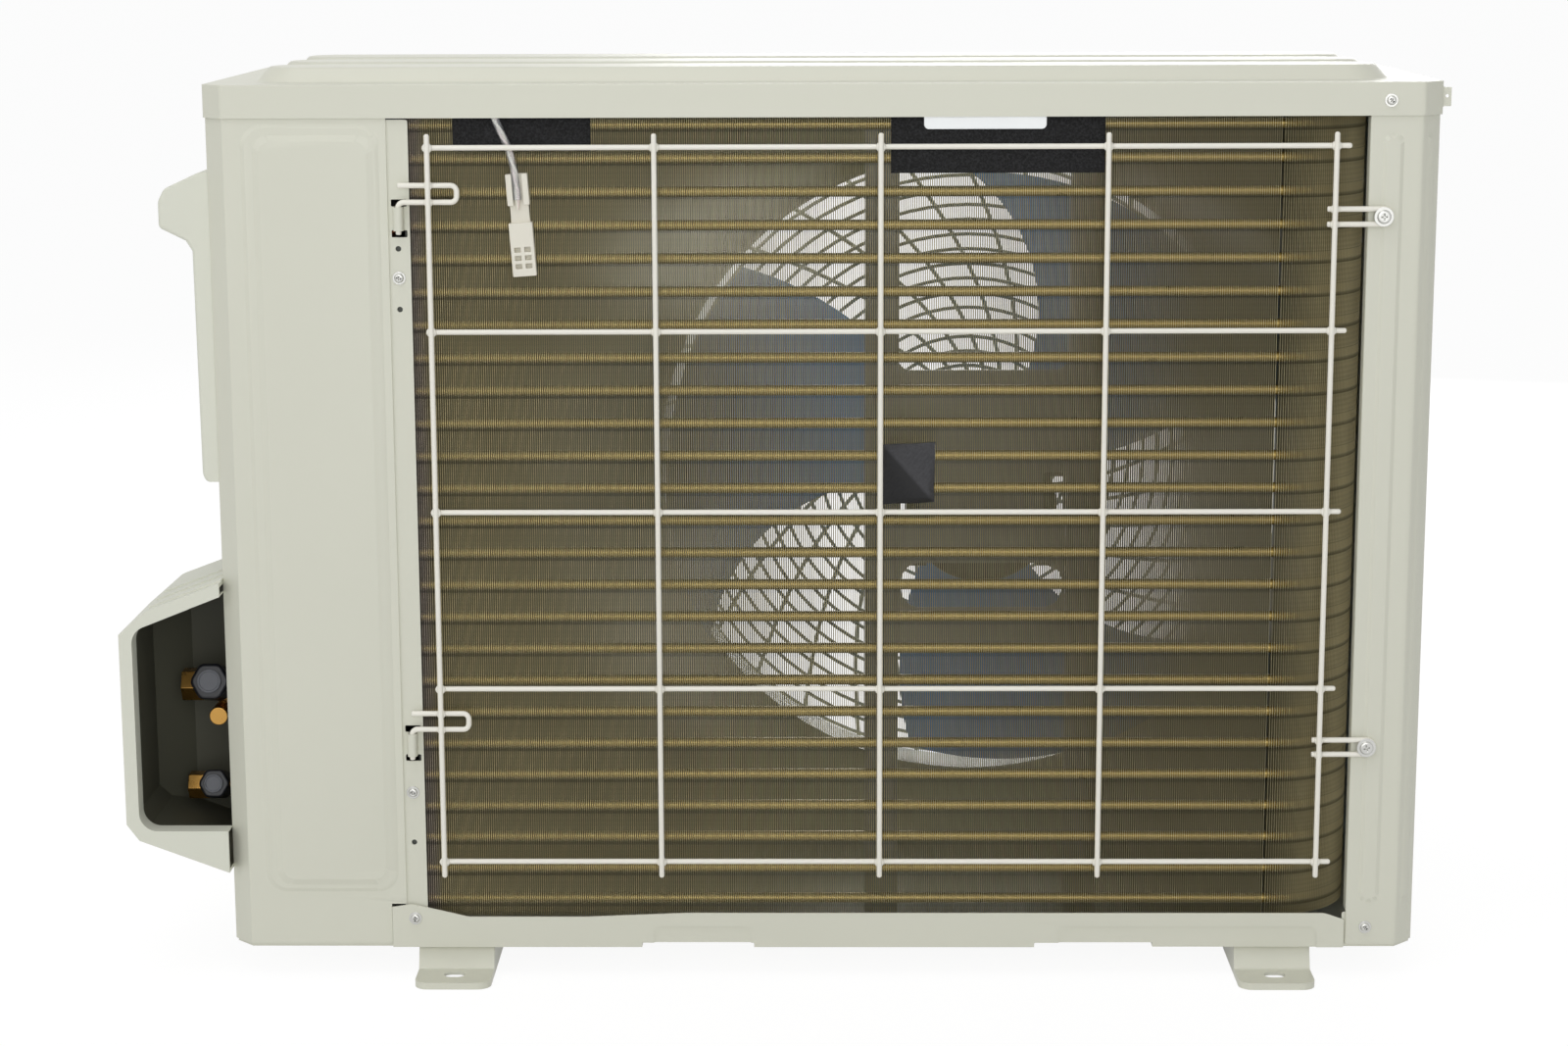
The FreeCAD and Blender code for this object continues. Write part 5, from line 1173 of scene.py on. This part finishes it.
twist_pitch = mm(25.0)
twist_steps = 5
for name, material, phase in (("sensor_wire_white", wire_white, 0.0),
                              ("sensor_wire_warm", wire_pink, math.pi)):
    points = []
    for start, end in zip(lead_points, lead_points[1:]):
        for step in range(twist_steps):
            place = Vector(start).lerp(Vector(end), step / twist_steps)
            angle = phase + 2 * math.pi * (lead_points[0][2] - place.z) / twist_pitch
            points.append(place + Vector((math.cos(angle), math.sin(angle), 0.0)) * lead_radius * 1.05)
    points.append(Vector(lead_points[-1]) - Vector((0.0, 0.0, mm(6.0))))
    wire = tube_from(smooth_path(name, points), lead_radius, 2)
    keep(smooth(wire, 60.0), material, "sensor_lead")

# %% [markdown]
# ## Foam
#
# Two strips of black foam seal the gap between the coil and the cover, and a square pad of moulded
# foam stops the coil from touching the motor plate's screws. Foam is never quite flat or square: a
# strip starts as a block that is divided finely, its rim is pulled in and rounded, and its face gets
# a low, uneven swell. The pad has a crease from corner to corner and moulded stripes on each side.

# %% Foam pieces
def runs_along(edge, axis):
    """Whether an edge runs along one axis."""
    along = edge.verts[1].co - edge.verts[0].co
    return abs(along[axis]) > along.length * 0.99


def foam_block(name, low, high, step):
    """A block divided into cells of about the given step, with rounded rims."""
    size = high - low
    block = add_piece(bpy.ops.mesh.primitive_cube_add, name, size, size=1.0, location=(low + high) / 2)
    for axis in range(3):
        cuts = max(1, round(size[axis] / step)) - 1
        if cuts:
            pick(block, "EDGE", lambda edge: runs_along(edge, axis))
            bpy.ops.mesh.subdivide(number_cuts=cuts)
    object_mode()
    return block


def wavy(x, z, seed):
    """A low swell from three crossing waves, between minus one and one."""
    first = math.sin(x * 173.0 + seed) * math.cos(z * 141.0 - seed)
    second = math.sin(x * 61.0 - z * 97.0 + 2.0 * seed)
    third = math.sin(x * 411.0 + z * 377.0 + 3.0 * seed)
    return 0.5 * first + 0.35 * second + 0.15 * third


def round_rim(block, low, high, inset, swell, seed):
    """Pull the rim of the rear face in, and let the face swell."""
    for vert in block.data.vertices:
        place = vert.co
        if place.y > (low.y + high.y) / 2:
            continue
        nearest = min(place.x - low.x, high.x - place.x, place.z - low.z, high.z - place.z)
        share = min(1.0, nearest / inset)
        bow = 1.0 - math.sqrt(max(0.0, 1.0 - (1.0 - share) ** 2))
        place.y += bow * min(inset, high.y - low.y) * 0.8
        place.y += swell * (0.5 + 0.5 * wavy(place.x, place.z, seed)) * share


strip_step = mm(2.6)
strip_rim = mm(2.2)
strip_swell = mm(0.5)
foam_strips = []
for index, points in enumerate(solids_of("coil_foam_strips")):
    low, high = box_of(points)
    strip = foam_block("foam_strip", low, high, strip_step)
    round_rim(strip, low, high, strip_rim, strip_swell, index * 1.7)
    foam_strips.append(strip)
strips = smooth(join(foam_strips, "coil_foam_strips_soft"), 60.0)
keep(strips, foam, "coil_foam_strips")
print("foam strips", len(foam_strips), "faces", len(strips.data.polygons))

# %% [markdown]
# Both sides of the crease have their own tone: the lower side gets painted shade and the upper side painted
# light, as if lit from above.

# %% Pad
pad_low, pad_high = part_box("coil_foam_pad")
pad_width = pad_high.x - pad_low.x
pad_height = pad_high.z - pad_low.z
pad_back = pad_high.y
pad_front = pad_back - mm(0.9)
pad = foam_block("coil_foam_pad_soft", Vector((pad_low.x, pad_front, pad_low.z)),
                 Vector((pad_high.x, pad_back, pad_high.z)), mm(0.8))
stripe_pitch = mm(3.2)
stripe_height = 0.3
crease_height = mm(4.4)
for vert in pad.data.vertices:
    place = vert.co
    across = (place.x - pad_low.x) / pad_width
    upward = (place.z - pad_low.z) / pad_height
    rim = min(across, 1 - across, upward, 1 - upward) * 9.0
    fade = math.sin(max(0.0, min(1.0, rim)) * math.pi / 2)
    from_crease = across + upward - 1.0
    ridge = max(0.0, 1.0 - math.hypot(from_crease, 0.05)) ** 1.25
    stripes = math.sin((place.x - place.z * 0.85) * 2 * math.pi / stripe_pitch)
    strength = stripe_height if 0.22 < abs(from_crease) < 0.72 else 0.0
    if place.y < (pad_front + pad_back) / 2:
        place.y -= fade * (crease_height * ridge + mm(strength) * stripes)
        place.y = min(place.y, pad_front)
    place.x += mm(0.7) * wavy(place.z * 0.6, 0.1, 2.0)
    place.z += mm(0.8) * wavy(place.x * 0.6, 0.4, 1.0) + mm(1.8) * (across - 0.5)


def crease_painted_light_and_shade(tree, tone):
    """The foam's colour, with painted shade below the crease and painted light above it."""
    place = object_place(tree)
    across = share_of(tree, place["X"], pad_low.x, pad_width)
    upward = share_of(tree, place["Z"], pad_low.z, pad_height)
    from_crease = math_node(tree, "SUBTRACT", math_node(tree, "ADD", across, upward), 0.98)
    # Painted light on the upper side of the crease, and painted shade on the lower side.
    above = math_node(tree, "MAXIMUM", math_node(tree, "MULTIPLY", from_crease, 12.0), 0.0)
    painted_lit_side = math_node(tree, "MINIMUM", above, 1.0)
    return scaled(tree, tone, math_node(tree, "ADD", math_node(tree, "MULTIPLY", painted_lit_side, 1.25), 0.4))


recolour(pad_foam, crease_painted_light_and_shade)
keep(smooth(pad, 60.0), pad_foam, "coil_foam_pad")
print("pad faces", len(pad.data.polygons))

# %% [markdown]
# ## Plastic covers on the valve side
#
# Two moulded covers sit on the left side. The upper one hides the terminals and forms a grip, and
# the lower one hides the service valves and is open to the rear for the pipes. Moulded plastic has
# generous radii on its outer edges and small ones inside. The edges that face outwards are found by
# their angle and by how far they lie from the cabinet, and get a wide bevel. The inner faces of the
# lower cover get a darker finish of their own, which is painted shade in the hollow of the cover.

# %% Moulded covers
# A darker finish for the lower cover's inner faces: painted shade in its hollow.
cover_painted_shade = make_finish("cover inside painted shade", paint(90, 90, 76), 0.6, drift=0.05, grain_scale=2200.0)
cabinet_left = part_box("valve_side_panel")[0].x
terminal_low, terminal_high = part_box("terminal_cover")
outer_radius = mm(2.6)
lip_depth = mm(12.5)


def on_outline(edge):
    """Whether an outward fold of the upper cover lies on its outside, away from the cabinet."""
    if not edge.is_convex or fold_turn(edge) <= 14:
        return False
    for place in (edge.verts[0].co, edge.verts[1].co):
        depth = min(place.x - terminal_low.x, place.y - terminal_low.y, terminal_high.y - place.y,
                    place.z - terminal_low.z, terminal_high.z - place.z)
        if place.x > cabinet_left - mm(1.0) or depth > mm(0.05):
            return False
    return True


terminal_cover = free_copy("terminal_cover")
bevel_edges(terminal_cover, on_outline, outer_radius, 4)
keep(smooth(ease(terminal_cover, 0.5)), cover_plastic, "terminal_cover")
print("terminal cover faces", len(terminal_cover.data.polygons))

valve_cover = eased("valve_cover", cover_plastic, 1.5, 3, 24.0, 35.0)
valve_cover.data.materials.append(cover_painted_shade)
low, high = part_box("valve_cover")
middle = Vector(((low.x + cabinet_left) / 2, (low.y + high.y) / 2, (low.z + high.z) / 2))
# Inward faces deeper than the lip get the painted shade.
for face in valve_cover.data.polygons:
    inward = (middle - face.center).dot(face.normal) > 0
    if inward and face.center.y > low.y + lip_depth:
        face.material_index = 1
print("valve cover faces", len(valve_cover.data.polygons))

# %% [markdown]
# ## Fan and grille
#
# Through the fins the blue blades show, and from the front the whole fan does. The blades come from
# the model with their twist, so they get eased edges only. The grille is modelled anew: its rings
# in the model have few sides, and real ones are round bars of about two and a half millimetres.

# %% Fan
eased("fan", fan_blue, 0.7, 2, 40.0, 50.0)
fan_low, fan_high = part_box("fan_nut")
fan_axis = (fan_low + fan_high) / 2

# %% Grille sizes, read from the model
ring_radii = []
for points in solids_of("fan_grille_rings"):
    reach = [math.hypot(point.x - fan_axis.x, point.z - fan_axis.z) for point in points]
    ring_radii.append((max(reach) + min(reach)) / 2)
ring_radii.sort()
ring_low, ring_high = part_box("fan_grille_rings")
grille_low, grille_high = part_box("fan_grille")
spoke_back = ring_high.y
spoke_front = grille_high.y
spoke_count = 32
spoke_swirl = math.tan(math.radians(26.0))
disc_radius = mm(44.0)
rim_radius = mm(238.0)
bar_width = mm(2.6)
lug_height = mm(3.0)
lug_radius = mm(8.0)
lug_offset = mm(5.0)
rim_wall = mm(3.0)
print("rings", len(ring_radii), [round(radius * 1000) for radius in ring_radii])


# %% Rings
quarter_turn = (math.pi / 2, 0.0, 0.0)
ring_place = (fan_axis.x, (ring_low.y + ring_high.y) / 2, fan_axis.z)
rings = [add_piece(bpy.ops.mesh.primitive_torus_add, "ring", location=ring_place, rotation=quarter_turn,
                   major_radius=radius, minor_radius=bar_width / 2, major_segments=80, minor_segments=8)
         for radius in ring_radii]
grille_rings = smooth(join(rings, "fan_grille_rings_round"), 60.0)
keep(grille_rings, grille_plastic, "fan_grille_rings")

# %% [markdown]
# A spoke follows a spiral that crosses every ring at the same angle. It is drawn once as a path with
# a round section, made into a mesh and turned about the axis for each copy.

# %% Spokes, centre disc and rim
spoke_start = disc_radius - mm(2.0)
spoke_end = rim_radius - mm(1.5)
spoke_points = []
path_steps = 9
for step in range(path_steps):
    radius = spoke_start * (spoke_end / spoke_start) ** (step / (path_steps - 1))
    angle = spoke_swirl * math.log(radius / spoke_start)
    spoke_points.append((fan_axis.x + radius * math.cos(angle), (spoke_back + spoke_front) / 2,
                         fan_axis.z + radius * math.sin(angle)))
spoke = tube_from(smooth_path("spoke", spoke_points), (spoke_front - spoke_back) / 2, 2)
axis_line = Vector((fan_axis.x, 0.0, fan_axis.z))
spokes = [spoke]
for index in range(1, spoke_count):
    spokes.append(copy_of(spoke, "spoke", turned_about(axis_line, -2 * math.pi * index / spoke_count, "Y")))
grille_spokes = smooth(join(spokes, "fan_grille_spokes"), 60.0)
keep(grille_spokes, grille_plastic, "fan_grille")


def lying_cylinder(name, radius, back, front, centre, sides, **values):
    """A cylinder along the depth of the unit, from one depth to another."""
    return add_piece(bpy.ops.mesh.primitive_cylinder_add, name, vertices=sides, radius=radius,
                     depth=front - back, location=(centre.x, (back + front) / 2, centre.z),
                     rotation=quarter_turn, **values)


disc = lying_cylinder("fan_grille_disc", disc_radius, spoke_back, spoke_front, fan_axis, 96)
pick(disc, "FACE", lambda face: face.normal.y > 0.9)
for step_width, step_height in ((3.5, 0.0), (1.2, -0.8), (14.0, 0.3)):
    bpy.ops.mesh.inset(thickness=mm(step_width), depth=mm(step_height))
object_mode()
keep(smooth(ease(disc, 0.5)), grille_plastic, "fan_grille")

rim = lying_cylinder("fan_grille_rim", rim_radius, grille_low.y, grille_high.y, fan_axis, 128,
                     end_fill_type="NOTHING")
modify(rim, "SOLIDIFY", thickness=rim_wall, offset=-1.0)
pads = [ease(rim, 0.9, 3)]
for points in solids_of("cabinet_screws"):
    low, high = box_of(points)
    centre = (low + high) / 2
    reach = math.hypot(centre.x - fan_axis.x, centre.z - fan_axis.z)
    if centre.y > grille_low.y - mm(10) and abs(reach - rim_radius - lug_offset) < mm(2.0):
        lug = lying_cylinder("lug", lug_radius, grille_low.y, grille_low.y + lug_height, centre, 32)
        pads.append(ease(lug, 0.7))
rim = smooth(join(pads, "fan_grille_rim"))
keep(rim, grille_plastic, "fan_grille")
print("grille lugs", len(pads) - 1, "rim faces", len(rim.data.polygons))

# %% [markdown]
# ## Valves and nuts
#
# Two service valves stand on a galvanised plate inside the lower cover. Bodies and caps are turned
# brass, and the flare nuts that close the pipe ends have a black coat. Turned and milled parts have
# their edges broken by a fraction of a millimetre, and a plug with a dull grey face closes each nut.

# %% Valves and caps
def ease_nodes(material, edge, *node_names, **values):
    """Eased copies of several nodes with one finish."""
    for node_name in node_names:
        eased(node_name, material, edge, **values)


ease_nodes(brass, 0.35, "gas_valve", "liquid_valve")
ease_nodes(brass, 0.6, "gas_stem_cap", "liquid_stem_cap", "service_port_cap")
ease_nodes(galvanised, 0.3, "valve_plate")

# %% [markdown]
# The nuts on the pipe ends have a thick black coat, so their six corners and their outer rim are
# round. The end face gives the nut's axis, and a dished grey disc is set into it.

# %% Nuts with their plugs
plug_grey = make_finish("plug face", paint(104, 106, 112), 0.5, drift=0.12, drift_scale=160.0)
corner_share = 0.26
end_share = 0.2
plug_share = 0.66
plug_rim_share = 0.1


def capped_nut(node_name):
    """A coated nut with round corners, and the disc in its end."""
    nut = free_copy(node_name)
    ends = [face for face in nut.data.polygons if face.normal.y < -0.9]
    end_face = max(ends, key=lambda face: face.area)
    along = end_face.normal.copy()
    centre = end_face.center.copy()
    places = [vert.co for vert in nut.data.vertices]
    flat_radius = min(((places[first] + places[second]) / 2 - centre).length
                      for first, second in end_face.edge_keys)

    def is_corner(edge):
        """Whether an edge is one of the six that run along the nut."""
        run = (edge.verts[1].co - edge.verts[0].co).normalized()
        return abs(run.dot(along)) > 0.99 and 50 < fold_turn(edge) < 70

    def is_rim(edge):
        """Whether an edge bounds the end face."""
        depths = [abs((vert.co - centre).dot(along)) for vert in edge.verts]
        return max(depths) < mm(0.02) and fold_turn(edge) > 80

    bevel_edges(nut, is_corner, flat_radius * corner_share, 3)
    bevel_edges(nut, is_rim, flat_radius * end_share, 4)
    keep(smooth(nut, 40.0), nut_black, node_name)
    disc = add_piece(bpy.ops.mesh.primitive_cylinder_add, node_name + "_plug", vertices=40,
                     radius=flat_radius * plug_share, depth=mm(3.0), location=centre,
                     rotation=along.to_track_quat("Z", "Y").to_euler())
    pick(disc, "FACE", lambda face: face.normal.dot(along) > 0.9)
    bpy.ops.mesh.inset(thickness=flat_radius * plug_rim_share)
    bpy.ops.mesh.inset(thickness=mm(0.4))
    bpy.ops.transform.translate(value=along * mm(-0.5))
    bevel_edges(disc, lambda edge: fold_turn(edge) > 80, mm(0.35), 2)
    return keep(smooth(disc, 40.0), plug_grey, node_name)


for nut_name in ("gas_flare_nut", "liquid_flare_nut"):
    plug = capped_nut(nut_name)
    print(plug.name, "faces", len(plug.data.polygons))

# %% [markdown]
# ## Motor bracket, coil ends and pipes
#
# The rails and the plate between them are folded from galvanised sheet. The coil's end plates, its
# soldered return bends and the pipes behind the partition hardly show, but each has its own finish
# and eased edges, so that it still looks right when the cover is off.

# %% Inner parts
for rail_name in ("motor_rail_left", "motor_rail_right"):
    soft_sheet(rail_name, galvanised, fold=1.8, sheet=1.2)
# The near end plate gets a dark finish: painted shade where it lies beside the fins.
end_plate_painted_shade = make_finish("near end plate painted shade", paint(74, 76, 72), 0.6, metallic=0.5, drift=0.1)
ease_nodes(end_plate_painted_shade, 0.35, "coil_end_plate_near")
ease_nodes(galvanised, 0.35, "motor_bracket_top", "partition", "coil_end_plate_far", "accumulator_strap")
ease_nodes(copper, 0.3, "coil_return_bends", "coil_hairpins", "discharge_pipe", "suction_pipe",
           "coil_gas_pipe", "gas_valve_pipe", "coil_liquid_pipe", "liquid_valve_pipe",
           rounds=1, angle=50.0, shade=50.0)
ease_nodes(motor_steel, 0.8, "fan_motor")
ease_nodes(motor_steel, 0.4, "motor_shaft")
ease_nodes(zinc, 0.5, "fan_nut")
ease_nodes(zinc, 0.3, "compressor_studs")
ease_nodes(brass, 0.6, "four_way_valve", "expansion_valve")
ease_nodes(black_paint, 1.2, "compressor")
ease_nodes(black_paint, 0.8, "accumulator")
ease_nodes(rubber, 0.8, "compressor_grommets")
ease_nodes(black_plastic, 1.0, "compressor_terminal_cap", "four_way_coil")
ease_nodes(box_plastic, 1.0, "electrical_box")
ease_nodes(box_plastic, 0.5, "terminal_block")
ease_nodes(board_green, 0.2, "circuit_board")
